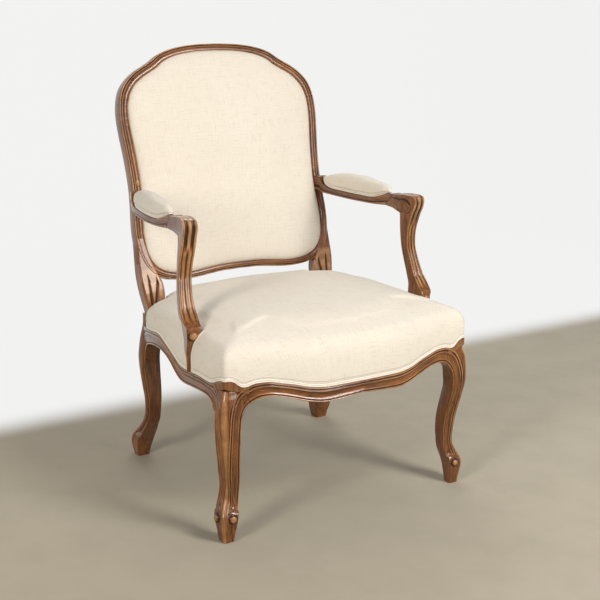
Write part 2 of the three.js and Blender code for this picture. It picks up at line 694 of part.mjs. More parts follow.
// A cord of one round section along a line of points
function cordAlong(places, closed = false) {
  const count = places.length;
  return shell(places.map((p, k) => {
    const before = places[closed ? (k + count - 1) % count : Math.max(k - 1, 0)];
    const after = places[closed ? (k + 1) % count : Math.min(k + 1, count - 1)];
    const along = after.clone().sub(before).normalize();
    const across = point(along.y, -along.x, 0).normalize();
    const up = across.clone().cross(along);
    return cordTurns.map((turn) => p.clone()
      .addScaledVector(across, cordRadius * Math.cos(turn))
      .addScaledVector(up, cordRadius * Math.sin(turn)));
  }), closed);
}

// Arm pads: crowned, and drawn in at the foot, where a cord runs round them on the wood
const padFoot = 2 * cordRadius + 2 * gap;

function padRow(way) {
  const { x, y, top, half } = armRow(way);
  const end = Math.abs((2 * (way - armPadStartShare)) / (armPadEndShare - armPadStartShare) - 1);
  const narrow = Math.max(Math.sqrt(Math.max(1 - end ** 5, 0)), 0.15);
  const foot = half - frameRounding / 2 - padFoot;
  return { x, y, top, half: foot * narrow, tall: (armPadCrown - padFoot) * narrow };
}

function armPad(side) {
  return shell(padWays.map((way) => {
    const { x, y, top, half, tall } = padRow(way);
    const out = half + Math.min(armPadBulge, half);
    const line = [[half, 0], [half, padFoot]];
    for (const [wide, up] of padSectionShares) line.push([out * wide, padFoot + up * tall]);
    const other = [...line].reverse().map(([shift, z]) => [-shift, z]);
    return [...line, [0, padFoot + tall], ...other]
      .map(([shift, z]) => point(side * (x + shift), y, top + gap + z));
  }));
}

function armCord(side) {
  const room = cordRadius + 2 * gap;
  const lift = cordRadius + 4 * gap;
  const run = (turn) => padWays.map((way) => {
    const { x, y, top, half } = padRow(way);
    return point(side * (x + turn * (half + room)), y, top + lift);
  });
  const endPlace = (way, turn) => {
    const { x, y, top } = padRow(way);
    return point(side * x, y + turn * room * 1.4, top + lift + gap);
  };
  return cordAlong([
    ...run(1), endPlace(armPadEndShare, -1), ...run(-1).reverse(), endPlace(armPadStartShare, 1)], true);
}

// Screws: a head and a plain shank
function screw(length, from, direction, extra = 0) {
  const profile = [
    [0, -extra], [screwHeadRadius + extra, -extra], [screwHeadRadius + extra, screwHeadHeight + extra],
    [screwRadius + extra, screwHeadHeight + extra], [screwRadius + extra, length + extra], [0, length + extra],
  ].map(([r, z]) => new THREE.Vector2(r, z));
  const geometry = new THREE.LatheGeometry(profile, 6);
  const turn = new THREE.Quaternion().setFromUnitVectors(point(0, 1, 0), direction.clone().normalize());
  geometry.applyQuaternion(turn);
  return asSolid(geometry.translate(from.x, from.y, from.z));
}

// A screw's hole, with the way in for its head behind it
function screwHole(length, from, direction, entry) {
  const start = from.clone().addScaledVector(direction, -entry);
  return screw(length, from, direction, gap).add(roundPeg(screwHeadRadius + gap, entry, 6, start, direction));
}

// Corner blocks fill the inner corners of the seat frame; two screws hold each
const blockLow = frameTop - gap * 2 - blockHeight;
const sideInner = (y) => sideRailPlace(y) - railDepth;
const frontInner = (x) => frontStation(x).outer.y + railDepth;
const rearInner = rearRailBack - railDepth;

function insideFrame(inset, low, high) {
  const half = [...frontWays, ...legFrontWays].map(frontStation)
    .concat([...legSideWays, ...sideWays, ...uprightWays].map((y) => sideStation(1, y)))
    .map((station) => atDepth(station, railDepth + inset, 0))
    .filter((p) => p.x < sideInner(p.y) && p.y > frontInner(p.x) && p.y < rearInner - inset);
  const end = rearInner - inset;
  const right = [...half, point(sideInner(end) - inset, end, 0)];
  const left = right.slice(1).reverse().map((p) => point(-p.x, p.y, 0));
  return shell([low, high].map((z) => [...right, ...left].map((p) => p.clone().setZ(z))));
}

function blockCorner(side, front) {
  const y = front ? -railCornerForward + railDepth : rearInner;
  const x = front ? railCornerX - railDepth : sideRailRearX - railDepth;
  return { x: side * x, y, way: front ? 1 : -1 };
}

function cornerBlock(side, front) {
  const { x, y, way } = blockCorner(side, front);
  const [outX, outY] = [x + side * railDepth, y - way * railDepth];
  return shell([blockLow, blockLow + blockHeight].map((z) => [
    point(outX, outY, z), point(outX, y + way * blockLeg, z), point(x - side * rebate, y + way * blockLeg, z),
    point(x - side * blockLeg, y + way * rebate, z), point(x - side * blockLeg, outY, z),
  ])).intersect(insideFrame(gap, blockLow - overrun, frameTop))
    .subtract(legCore(side, front, gap))
    .subtract(lowerStile(side, 2 * gap));
}

function blockScrews(side, front) {
  const { x, y, way } = blockCorner(side, front);
  const level = blockLow + blockHeight / 2;
  const acrossX = x - side * blockScrewAway;
  const acrossY = front ? frontInner(acrossX) : rearInner;
  const alongY = y + way * blockScrewAway;
  return [
    { from: point(acrossX, acrossY + way * blockScrewSeat, level), direction: point(0, -way, 0) },
    { from: point(side * (sideInner(alongY) - blockScrewSeat), alongY, level), direction: point(side, 0, 0) },
  ];
}

// Back pads: levels from the edge to the middle
function backRing(inset, share, depth) {
  const middle = openingHeight / 2;
  return backStations.map((s) => onBack(
    (s.u - s.outU * inset) * share, middle + (s.v - s.outV * inset - middle) * share, depth));
}

const backLevels = (rows, inset, sink) => rows.map(([share, up]) => (
  backRing(inset, share, cordRadius - up * backCrown + sink)));

const backCord = (out, depth) => roundOpening(() => cordTurns.map((turn) => [
  out + cordRadius * Math.cos(turn), depth + cordRadius * Math.sin(turn)]));

// A strap woven through the straps that cross it: it lies over and under them in turn
const webLift = webThickness / 2 + gap;
const webStack = 2 * (webThickness + gap);

function strap({ from, to, crossings, overFirst, width, place }) {
  const flat = width / 2 + overrun;
  const track = [[from, -webLift]];
  crossings.forEach((middle, k) => {
    const over = (k % 2 === 0) === overFirst ? webLift : -webLift;
    track.push([middle - flat, over], [middle + flat, over]);
  });
  track.push([to, -webLift]);
  return shell(track.map(([way, up]) => {
    const low = webLift + up;
    return [
      place(way, -width / 2, low), place(way, width / 2, low),
      place(way, width / 2, low + webThickness), place(way, -width / 2, low + webThickness),
    ];
  }));
}

// Seat outline: it follows the rails, then turns in before each rear upright
function seatLoop() {
  const rolled = (y) => seatTurnShares[0][2] * THREE.MathUtils.smoothstep(y, 0, seatSideEnd);
  const front = [...frontWays.filter((_, k) => k % 2 === 0), ...legFrontWays.slice(2)].map(frontStation);
  const corner = cornerShares.map((share) => cornerStation(1, share));
  const railWays = sideWays.filter((y, k) => k % 2 === 0 && y < seatSideEnd);
  const side = [...legSideWays.slice(0, -2), ...railWays, seatSideEnd]
    .map((y) => ({ ...sideStation(1, y), drop: rolled(y) }));
  const edgeX = side[side.length - 1].outer.x;
  const turned = seatTurnShares.map(([across, back, drop]) => ({
    outer: point(
      THREE.MathUtils.lerp(edgeX, seatNotchX, across),
      THREE.MathUtils.lerp(seatSideEnd, seatNotchBack, back), 0),
    mould: frameTop,
    drop,
  }));
  const rear = seatRearShares.map(([across, drop]) => ({
    outer: point(seatNotchX * across, seatRearBack, 0), mould: frameTop, drop }));
  const right = [...front, ...corner, ...side, ...turned, ...rear];
  const left = right.slice(1, -1).reverse().map((s) => ({ ...s, outer: point(-s.outer.x, s.outer.y, 0) }));
  const loop = [...right, ...left];
  return loop.map((s, k) => {
    const before = loop[(k + loop.length - 1) % loop.length];
    const along = loop[(k + 1) % loop.length].outer.clone().sub(before.outer);
    return { ...s, drop: s.drop ?? 0, inward: point(-along.y, along.x, 0).normalize() };
  });
}
const seatStations = seatLoop();
const seatMiddle = point(0, -frontFootForward / 5, 0);
const clothStart = 2 * cordRadius + 3 * gap + clothRoom;

// One level of the seat's form, as a ring: a share of the outline and a share of the height
function seatRing([share, up], inset, sink) {
  return seatStations.map((s) => {
    const p = atDepth(s, inset, 0).sub(seatMiddle).multiplyScalar(share).add(seatMiddle);
    const start = s.mould + clothStart;
    const roll = seatRollTop - sink - s.drop * seatCornerDrop * share ** 6;
    const z = up <= 1 ? start + (roll - start) * up : roll + (seatCrownTop - seatRollTop) * (up - 1);
    return p.setZ(z);
  });
}

const seatPlate = (inset, low, high) => shell([low, high].map((z) => (
  seatStations.map((s) => atDepth(s, inset, z)))));

// Screws from below into the supports, and from behind into the armrests, as [place, direction]
const supportScrewPlace = (side) => {
  const low = sideStation(side, -supportScrewForward).low + supportScrewRecess;
  return [point(side * supportScrewX, -supportScrewForward, low), point(0, 0, 1)];
};
const armScrewUp = (armUnderside + armScrewRise - openingBottom)
  / Math.cos(THREE.MathUtils.degToRad(backLeanDegrees));
const armScrewPlace = (side) => {
  const from = onBack(side * armScrewX, armScrewUp, frameThickness - armScrewRecess);
  return [from, onBack(side * armScrewX, armScrewUp, 0).sub(from).normalize()];
};

// Build the wood, the left side first
const wood = {};
const blocks = [];
for (const [side, word] of sides) {
  const legRails = {
    front: frontRailPart(legFrontWays.map((x) => side * x)).add(sideRailPart(side, legSideWays)),
    rear: sideRailPart(side, uprightWays)
      .add(rearRailPart(side * (rearJointX + gap), side * (rearFootX - rearLegSide / 2))),
  };
  wood[`${word}_front_leg`] = legCore(side, true, 0)
    .add(legRails.front)
    .subtract(rebateRound(side))
    .subtract(frontTenon(side, gap))
    .subtract(sideTenon(side, true, gap));
  const rearRebate = insideOpening(
    backRebateWidth, frameThickness - backRebateDepth, frameThickness + overrun);
  wood[`${word}_rear_upright`] = legCore(side, false, 0)
    .add(legRails.rear)
    .add(lowerStile(side, 0)
      .subtract(insideOpening(0, -overrun, frameThickness))
      .subtract(rearRebate))
    .add(stilePart(side))
    .subtract(sideTenon(side, false, gap))
    .subtract(rearTenon(side, gap))
    .subtract(bottomTenon(side, gap))
    .subtract(screwHole(armScrewLength, ...armScrewPlace(side), frameThickness))
    .add(crestTenon(side, 0));
  wood[`${word}_side_rail`] = sideRailPart(side, sideWays)
    .subtract(screwHole(supportScrewLength, ...supportScrewPlace(side), frameTop))
    .add(sideTenon(side, true, 0))
    .add(sideTenon(side, false, 0));
  wood[`${word}_arm_support`] = supportSolid(side, 0)
    .subtract(sideRailPart(side, sideWays, gap))
    .subtract(jointDowel(side, dowelRadius + gap, dowelLength + 2 * gap))
    .subtract(screw(supportScrewLength, ...supportScrewPlace(side), gap));
  wood[`${word}_armrest`] = armrestSolid(side)
    .subtract(beforeJoint(side, gap * 1.5))
    .subtract(backFrameWith(gap))
    .subtract(jointDowel(side, dowelRadius + gap, dowelLength + 2 * gap))
    .subtract(screw(armScrewLength, ...armScrewPlace(side), gap));
}
wood.front_rail = frontRailPart([...frontWays.slice(1).reverse().map((x) => -x), ...frontWays])
  .add(frontTenon(1, 0))
  .add(frontTenon(-1, 0));
wood.rear_rail = rearRailPart(-rearJointX, rearJointX).add(rearTenon(1, 0)).add(rearTenon(-1, 0));
wood.crest_rail = backFrame
  .intersect(backBlock(-farOut, farOut, crestJoint + gap, farUp, -farOut, farOut))
  .subtract(crestTenon(1, gap))
  .subtract(crestTenon(-1, gap));
wood.bottom_back_rail = backFrame
  .intersect(backBlock(-bottomJoint + gap, bottomJoint - gap, -farUp, openingHeight / 3, -farOut, farOut))
  .add(bottomTenon(1, 0))
  .add(bottomTenon(-1, 0));

// Corner blocks and their screws, with a hole through each block into the rail behind it
for (const [side, word] of sides) {
  for (const [front, place] of [[true, 'front'], [false, 'rear']]) {
    let block = cornerBlock(side, front);
    blockScrews(side, front).forEach(({ from, direction }, k) => {
      block = block.subtract(screwHole(blockScrewLength, from, direction, blockLeg));
      const held = k === 1 ? `${word}_side_rail` : `${place}_rail`;
      wood[held] = wood[held].subtract(screw(blockScrewLength, from, direction, gap));
      blocks.push([`${word}_${place}_block_screw_${k + 1}`, screw(blockScrewLength, from, direction), steel]);
    });
    blocks.push([`${word}_${place}_corner_block`, block, beech]);
  }
}
for (const [name, piece] of Object.entries(wood)) add(name, piece, walnut);
for (const [name, piece, material] of blocks) add(name, piece, material);
for (const [side, word] of sides) {
  add(`${word}_arm_dowel`, jointDowel(side, dowelRadius, dowelLength), beech);
  add(`${word}_support_screw`, screw(supportScrewLength, ...supportScrewPlace(side)), steel);
  add(`${word}_arm_screw`, screw(armScrewLength, ...armScrewPlace(side)), steel);
}

// Seat webbing, on top of the frame
const webLines = [-1, 0, 1].map((k) => k * webSpacing);
const webRows = [-1, 0, 1].map((k) => k * sideRailSpan * webRowShare - webMiddleForward);
const webBase = frameTop + gap;
webRows.forEach((row, k) => {
  const reach = sideRailPlace(row) - railDepth / 2;
  add(`seat_web_across_${k + 1}`, strap({
    from: -reach, to: reach, crossings: webLines, overFirst: k % 2 === 0, width: webWidth,
    place: (way, across, z) => point(way, row + across, webBase + z),
  }), jute);
});
webLines.forEach((line, k) => {
  add(`seat_web_along_${k + 1}`, strap({
    from: frontStation(Math.abs(line) + webWidth / 2).outer.y + railDepth / 2, to: rearInner + railDepth / 3,
    crossings: webRows, overFirst: k % 2 === 1, width: webWidth,
    place: (way, across, z) => point(line + across, way, webBase + z),
  }), jute);
});

// Seat: hessian on the webbing, the stuffing, and the cover with its cords
const hessianLow = webBase + webStack + gap;
const foamLow = hessianLow + hessianThickness + gap;
const roundSupports = (piece, room) => piece
  .subtract(supportSolid(1, room))
  .subtract(supportSolid(-1, room));
const roundStiles = (piece, room) => piece
  .subtract(lowerStile(1, room))
  .subtract(lowerStile(-1, room));
const hessian = seatPlate(railDepth / 3, hessianLow, hessianLow + hessianThickness);
add('seat_hessian', roundStiles(roundSupports(hessian, cutRoom), cutRoom), jute);

const innerLevels = seatLevelShares
  .filter((_, k) => k < 3 || k % 2 === 0 || k === seatLevelShares.length - 1);
const stuffInset = clothInset + clothThickness + stuffRoom;
const stuffing = shell([
  seatRing([0, 0], stuffInset, 0).map((p) => p.setZ(railArchFoot)),
  seatRing([1, 0], stuffInset, 0).map((p) => p.setZ(railArchFoot)),
  ...innerLevels.map((level) => seatRing(level, stuffInset, clothThickness + stuffRoom)),
]).subtract(boxSolid(point(-farOut, -farOut, 0), point(farOut, farOut, foamLow)));
add('seat_stuffing', roundStiles(roundSupports(stuffing, cutRoom * 2), cutRoom * 2), foam);

const insideCover = (level) => (
  seatRing(level, clothInset + clothThickness, level[1] > 0.5 ? clothThickness : 0));
const cover = shell([
  ...[...innerLevels].reverse().map(insideCover),
  ...seatLevelShares.map((level) => seatRing(level, clothInset, 0)),
]);
const railEnds = [-1, 1].map((side) => sideRailPart(side, sideWays.slice(-4), gap));
const cutCover = roundStiles(roundSupports(cover, cutRoom), cutRoom)
  .subtract(railEnds[0])
  .subtract(railEnds[1]);
add('seat_cover', cutCover, linen);

const cordDepth = cordRadius + gap;
const cordSeat = gap * 2;
const tongueWay = sideWays.findIndex((y) => y > -supportScrewForward - rebate);
const onMould = (station) => atDepth(station, cordDepth, station.mould + cordSeat + cordRadius);
const frontCordLine = (side) => [
  ...frontWays.slice(1), ...legFrontWays.slice(1),
].map((x) => frontStation(side * x))
  .concat(cornerShares.map((share) => cornerStation(side, share)))
  .concat([...legSideWays.slice(0, -1), ...sideWays.slice(0, tongueWay + 1)]
    .map((y) => sideStation(side, y)));
const frontCord = cordAlong([
  ...frontCordLine(-1).reverse(), frontStation(0), ...frontCordLine(1)].map(onMould));
add('seat_front_cord', roundSupports(frontCord, gap * 2), linen);
for (const [side, word] of sides) {
  const line = sideWays.slice(tongueWay)
    .filter((y) => y < seatSideEnd)
    .map((y) => onMould(sideStation(side, y)));
  add(`${word}_seat_side_cord`, roundSupports(cordAlong(line), gap * 2), linen);
}
const rearCordY = seatRearBack - cordDepth;
const rearCordX = seatNotchX - cutRoom;
const rearCordLine = [-1, 1].map((k) => point(k * rearCordX, rearCordY, webBase + cordRadius));
add('seat_rear_cord', cordAlong(rearCordLine), linen);

// Dust cloth under the corner blocks
const dustLow = blockLow - gap - dustThickness;
let dust = insideFrame(dustInset, dustLow, dustLow + dustThickness);
for (const [side] of sides) dust = dust.subtract(legCore(side, true, gap)).subtract(legCore(side, false, gap));
add('dust_cloth', dust, cambric);

// Back: webbing in the rebate, the stuffing, the front cover with its cord, the outer cover with its cord
const lip = frameThickness - backRebateDepth;
const backMiddle = openingHeight / 2;
const halfWidthAt = (v) => backStations
  .filter((s) => s.u > 0 && Math.abs(s.v - v) < webWidth)
  .reduce((least, s) => Math.min(least, s.u), openingHalfWidth);
const backRows = [-0.5, 0.5].map((k) => backMiddle + k * backWebSpacing);
const backLines = [-0.5, 0.5].map((k) => k * backWebSpacing);
backRows.forEach((row, k) => {
  const reach = halfWidthAt(row) + backRebateWidth / 2;
  add(`back_web_across_${k + 1}`, strap({
    from: -reach, to: reach, crossings: backLines, overFirst: k === 0, width: webWidth,
    place: (way, across, z) => onBack(way, row + across, lip + gap + z),
  }), jute);
});
backLines.forEach((line, k) => {
  add(`back_web_upright_${k + 1}`, strap({
    from: -backRebateWidth / 2, to: openingHeight, crossings: backRows, overFirst: k === 1, width: webWidth,
    place: (way, across, z) => onBack(line + across, way, lip + gap + z),
  }), jute);
});

const padInset = 2 * (cordRadius + gap);
const innerBackLevels = backLevelShares.filter((_, k) => k % 2 === 0 || k === backLevelShares.length - 1);
const stuffBack = padInset + clothThickness + stuffRoom;
add('back_stuffing', shell([
  backRing(stuffBack, 0, lip), backRing(stuffBack, 1, lip),
  ...backLevels(innerBackLevels, stuffBack, clothThickness + stuffRoom),
]), foam);
add('back_cover', shell([
  ...backLevels(innerBackLevels, padInset + clothThickness, clothThickness).reverse(),
  backRing(padInset + clothThickness, 1, backCoverDepth), backRing(padInset, 1, backCoverDepth),
  ...backLevels(backLevelShares, padInset, 0),
]), linen);
add('back_cord', backCord(-cordRadius - gap, frameRounding), linen);
const outerDepth = lip + gap * 2 + webStack;
const outerEdge = backRebateWidth - padInset - gap;
add('outer_back_cover', shell([
  backRing(-outerEdge, 1, outerDepth), backRing(-outerEdge, 1, outerDepth + clothThickness)]), linen);
add('outer_back_cord', backCord(backRebateWidth - cordRadius - gap, frameThickness - cordRadius), linen);

// Arm pads
for (const [side, word] of sides) {
  add(`${word}_arm_pad`, armPad(side), linen);
  add(`${word}_arm_cord`, armCord(side), linen);
}

// The origin is on the floor below the middle of the whole chair
const extent = new THREE.Box3().setFromObject(chair);
chair.position.y = -(extent.min.y + extent.max.y) / 2;
const fauteuil = new THREE.Group();
fauteuil.add(chair);

export default fauteuil;
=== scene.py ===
# %% [markdown]
# # A carved armchair with an upholstered back and seat
# The model's solids come as a fixed frame. This script gives each visible piece its carved or
# sewn form and its material. Lengths are in millimetres until a point is placed.

# %%
import math
import bpy
import bmesh
from mathutils import Matrix, Vector


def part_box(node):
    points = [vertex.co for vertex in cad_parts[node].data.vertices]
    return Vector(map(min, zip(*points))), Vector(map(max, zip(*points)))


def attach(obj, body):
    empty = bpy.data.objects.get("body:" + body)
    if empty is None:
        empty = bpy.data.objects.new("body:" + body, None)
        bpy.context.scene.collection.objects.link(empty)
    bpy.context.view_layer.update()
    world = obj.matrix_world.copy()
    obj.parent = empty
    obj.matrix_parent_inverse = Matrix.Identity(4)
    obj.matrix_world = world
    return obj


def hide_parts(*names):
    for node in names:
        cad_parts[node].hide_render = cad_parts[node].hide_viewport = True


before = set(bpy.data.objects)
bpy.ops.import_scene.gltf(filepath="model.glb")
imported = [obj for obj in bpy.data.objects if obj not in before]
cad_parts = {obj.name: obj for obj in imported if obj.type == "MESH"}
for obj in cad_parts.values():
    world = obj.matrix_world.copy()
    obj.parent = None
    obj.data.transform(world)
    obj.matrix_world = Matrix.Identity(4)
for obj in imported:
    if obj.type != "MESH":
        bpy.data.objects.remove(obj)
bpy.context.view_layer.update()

# %% [markdown]
# The wood and the cloth repeat the shares from which the solids were drawn, so each piece lies
# where its solid lies. The frame was moved along Y when it was packed, and the front rail's
# foremost face says by how much.

# %%
MM = 0.001
FRONT_EDGE = 322
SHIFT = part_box("front_rail")[0].y + FRONT_EDGE * MM

FRONT_LEG_SHARES = [
    (0, 0, 0, .57), (.043, 0, 0, .66), (.087, 0, -.06, .76), (.13, 0, -.06, .86),
    (.174, -.14, .12, .91), (.217, -.48, .52, .82), (.261, -.77, .76, .745),
    (.304, -.9, .77, .725), (.348, -.96, .76, .745), (.406, -.91, .71, .785),
    (.464, -.82, .58, .82), (.536, -.63, .28, .865), (.609, -.43, -.06, .9),
    (.681, -.27, -.36, .93), (.739, -.24, -.39, 1), (.84, -.35, -.3, 1.02),
    (.942, -.6, -.08, 1), (1, -.62, -.06, 1),
]
REAR_LEG_SHARES = [
    (0, 0, .02, .7), (.042, 0, .02, .83), (.085, 0, -.02, .96), (.127, -.02, -.12, 1.01),
    (.169, -.05, -.3, .97), (.211, -.09, -.52, .87), (.254, -.13, -.71, .77),
    (.296, -.155, -.865, .745), (.338, -.17, -.94, .72), (.394, -.177, -.99, .735),
    (.451, -.177, -.99, .785), (.521, -.166, -.93, .86), (.592, -.155, -.865, .91),
    (.662, -.145, -.82, .945), (.732, -.15, -.8, .96), (.845, -.25, -.8, .95),
    (.93, -.37, -.8, .93), (1, -.4, -.8, .95),
]
FRONT_RAIL_SHARES = [
    (0, 1, .48, .855), (.155, .98, .435, .855), (.31, .91, .405, .855), (.42, .76, .48, .91),
    (.52, .58, .6, 1.02), (.61, .42, .7, 1.1), (.68, .31, .74, 1.165), (.74, .22, .73, 1.175),
    (.79, .16, .665, 1.16), (.828, .11, .55, 1.11), (.858, .08, .36, 1.1), (.88, .06, .12, 1.13),
    (.93, .03, -.25, 1.3), (1, 0, -.35, 1.37),
]
SIDE_RAIL_SHARES = [
    (0, 0, -.35, 1.37), (.05, .1, -.25, 1.28), (.08, .16, .06, 1.2), (.095, .2, .3, 1.15),
    (.115, .25, .49, 1.1), (.145, .31, .6, 1.06), (.19, .4, .625, 1.045), (.25, .5, .595, 1.035),
    (.33, .62, .54, .98), (.41, .74, .48, .94), (.46, .82, .5, .96), (.51, .88, .62, 1.07),
    (.575, .95, .84, 1.22), (.64, .98, .96, 1.35), (.71, 1, 1, 1.46), (.8, .95, .94, 1.4),
    (.87, .8, .83, 1.33), (.92, .6, .68, 1.29), (.955, .4, .4, 1.26), (.98, .2, .06, 1.25),
    (1, 0, -.25, 1.25),
]
OPENING_SHARES = [
    (0, 1, .82), (.2, .997, .82), (.36, .988, .84), (.49, .973, .87), (.584, .953, .92),
    (.649, .929, .96), (.736, .905, .96), (.823, .882, .97), (.896, .854, .99), (.957, .815, 1.02),
    (.99, .768, 1), (1, .715, 1), (.993, .64, 1), (.977, .555, 1), (.965, .463, 1),
    (.961, .379, 1), (.97, .295, 1), (.987, .211, .98), (.991, .148, .95), (.978, .085, .9),
    (.944, .043, .86), (.887, .012, .84), (.8, -.008, .82), (.671, -.018, .8),
    (.541, -.018, .8), (.39, -.0105, .8), (.238, -.003, .8), (0, 0, .8),
]
LOWER_STILE_SHARES = [
    (-.25, .925, 1.065), (-.215, .92, 1.06), (-.175, .895, 1.073), (-.125, .875, 1.092),
    (-.065, .885, 1.108), (-.01, .93, 1.112), (.05, .98, 1.106), (.1, 1.01, 1.1), (.15, 1.03, 1.097),
]
SUPPORT_SHARES = [
    (1.043, .006, .978, .006, .67, .15), (1.065, .08, .94, .08, .67, .15),
    (1.087, .138, .848, .138, .9, .07), (1.174, .208, .826, .208, 1.03, .02),
    (1.239, .272, .793, .272, 1.07, .05), (1.261, .308, .761, .317, 1.05, .1),
    (1.1, .362, .74, .362, 1.14, .19), (.93, .426, .65, .426, 1.06, .2),
    (.845, .478, .58, .478, .98, .18), (.782, .529, .52, .529, .93, .145),
    (.7, .619, .457, .619, .92, .055), (.713, .715, .45, .715, .98, -.04),
    (.81, .811, .467, .811, 1.02, -.12), (.92, .893, .467, .865, 1.03, -.12),
    (.972, .923, .462, .87, 1.02, -.12), (1.003, .96, .435, .875, 1.02, -.12),
    (.982, .989, .391, .878, 1.02, -.11), (.89, 1.005, .293, .885, 1.01, -.1),
    (.7, 1.01, .174, .893, 1, -.08), (.42, 1.004, 0, .897, 1, -.04),
    (.157, .993, -.13, .899, .98, 0),
]
ARMREST_SHARES = [
    (0, 0, 1, .19, .85, 0), (.06, .13, .98, .14, .9, 0), (.12, .24, .6, .1, 1.05, 0),
    (.22, .4, .44, .08, 1.25, 0), (.4, .63, .4, .04, 1.35, 0), (.6, .82, .38, .02, 1.35, 0),
    (.78, .94, .39, .03, 1.2, 0), (.88, .98, .55, .06, 1.05, 0), (.96, 1, .76, .08, .9, .7),
    (1, 1, .79, .09, .88, 1),
]

GAP = 0.3
FRAME_TOP, RAIL_DEPTH, REBATE = 356, 26, 6
CORNER_X, CORNER_Y, BOW = 297, 278, 44
SIDE_SPAN, SIDE_REAR_X = 478, 258
ARCH_FOOT, ARCH_HEIGHT = 250, 69
FRONT_JOINT, SIDE_JOINT, REAR_SIDE_JOINT = 244, 228, 184
LEG_SIDE = 42
CORNER_RADIUS = LEG_SIDE * 0.3
OPENING_LOW, OPENING_HIGH, OPENING_HALF = 459.5, 489, 231
FRAME_WIDE, FRAME_THICK = 27, 34
CREST_JOINT, BOTTOM_JOINT = 330, 184
LEAN = math.radians(13.15)
BACK_FACE = 209.6
ARM_TURN = math.radians(5)
ARM_UNDER, ARM_RISE = 594, 42


# %% [markdown]
# Small tools: a smooth curve through the rows of a table, and one through a line of points.

# %%
def row_at(rows, key):
    i = 0
    while i < len(rows) - 2 and key > rows[i + 1][0]:
        i += 1

    def slope(j, c):
        before, after = rows[max(j - 1, 0)], rows[min(j + 1, len(rows) - 1)]
        return (after[c] - before[c]) / (after[0] - before[0])

    span = rows[i + 1][0] - rows[i][0]
    t = min(max((key - rows[i][0]) / span, 0), 1)
    early = 2 * t ** 3 - 3 * t ** 2 + 1
    leave = (t ** 3 - 2 * t ** 2 + t) * span
    arrive = (t ** 3 - t ** 2) * span
    return [a * early + b * (1 - early) + slope(i, c) * leave + slope(i + 1, c) * arrive
            for c, (a, b) in enumerate(zip(rows[i], rows[i + 1]))]


def lerp(a, b, t):
    return a + (b - a) * t


def smooth(value, low, high):
    t = min(max((value - low) / (high - low), 0), 1)
    return t * t * (3 - 2 * t)


def spread(low, high, count):
    return [lerp(low, high, k / count) for k in range(count + 1)]


def curve_at(points, share):
    """A smooth curve through points of any size, with the bends of a drawn line."""
    place = share * (len(points) - 1)
    i = min(int(place), len(points) - 2)
    w = place - i
    p1, p2 = points[i], points[i + 1]
    p0 = points[i - 1] if i else tuple(2 * a - b for a, b in zip(p1, p2))
    p3 = points[i + 2] if i + 2 < len(points) else tuple(2 * b - a for a, b in zip(p1, p2))

    def step(a, b):
        return max(sum((x - y) ** 2 for x, y in zip(a, b)) ** 0.25, 1e-4)

    d0, d1, d2 = step(p0, p1), step(p1, p2), step(p2, p3)
    found = []
    for a, b, c, d in zip(p0, p1, p2, p3):
        m1 = ((b - a) / d0 - (c - a) / (d0 + d1) + (c - b) / d1) * d1
        m2 = ((c - b) / d1 - (d - b) / (d1 + d2) + (d - c) / d2) * d1
        found.append(b + m1 * w + (3 * (c - b) - 2 * m1 - m2) * w ** 2
                     + (2 * (b - c) + m1 + m2) * w ** 3)
    return found


def curve(points, count):
    return [curve_at(points, k / count) for k in range(count + 1)]


def heading(before, after):
    return Vector((after[0] - before[0], after[1] - before[1])).normalized()


# %% [markdown]
# A piece is swept from rings of points. Each point also carries a tone, from -1 in a groove to
# 1 on a ridge. Old polish does darken the hollows and wear thin on the ridges, but the dark end of
# the tone is also painted shade in grooves, sunk lines and rings, and the light end is partly a
# painted highlight. The tone is kept as an attribute of the mesh, which the materials read.

# %%
SIDES = ((-1, "left"), (1, "right"))


def both(make):
    """The left and the right piece of a pair, by the word for their side."""
    return {word: make(side, word) for side, word in SIDES}


def only(*pieces):
    bpy.ops.object.select_all(action="DESELECT")
    for piece in pieces:
        piece.select_set(True)
    bpy.context.view_layer.objects.active = pieces[0]


def place(p):
    return (p[0] * MM, p[1] * MM + SHIFT, p[2] * MM)


def note(piece, name, values, kind="FLOAT"):
    """Keeps a number or a vector for each point, for the materials to read."""
    field = piece.data.attributes.new(name, kind, "POINT").data
    if kind == "FLOAT":
        field.foreach_set("value", values)
    else:
        field.foreach_set("vector", [v for p in values for v in p])


# %% [markdown]
# A sweep could be made from a curve object with a bevel shape, but the section here changes along
# the way, so the rings are written as points and joined by faces. Points that fall together are
# merged, and the faces are turned outwards.

# %%
def finish_mesh(name, points, faces, tones, angle):
    mesh = bpy.data.meshes.new(name)
    mesh.from_pydata([place(p) for p in points], [], faces)
    piece = bpy.data.objects.new(name, mesh)
    note(piece, "relief", tones)
    mesh.update()
    bpy.context.collection.objects.link(piece)
    shape = bmesh.new()
    shape.from_mesh(mesh)
    bmesh.ops.remove_doubles(shape, verts=shape.verts, dist=0.01 * MM)
    bmesh.ops.recalc_face_normals(shape, faces=shape.faces)
    shape.to_mesh(mesh)
    shape.free()
    only(piece)
    bpy.ops.object.shade_smooth_by_angle(angle=math.radians(angle))
    return piece


def sweep(name, rings, tones=None, closed=False, angle=32):
    """One row of tones for all rings, or one for each. The ends are capped unless it is closed."""
    around = len(rings[0])
    tones = tones or [0] * around
    if not isinstance(tones[0], (list, tuple)):
        tones = [tones] * len(rings)
    faces = []
    for i in range(len(rings) if closed else len(rings) - 1):
        a, b = i * around, (i + 1) % len(rings) * around
        for j in range(around):
            k = (j + 1) % around
            faces.append((a + j, a + k, b + k, b + j))
    if not closed:
        faces.append(tuple(range(around))[::-1])
        faces.append(tuple(range((len(rings) - 1) * around, len(rings) * around)))
    points = [p for ring in rings for p in ring]
    return finish_mesh(name, points, faces, [t for row in tones for t in row], angle)


def joined(name, pieces):
    only(*pieces)
    bpy.ops.object.join()
    pieces[0].name = pieces[0].data.name = name
    return pieces[0]


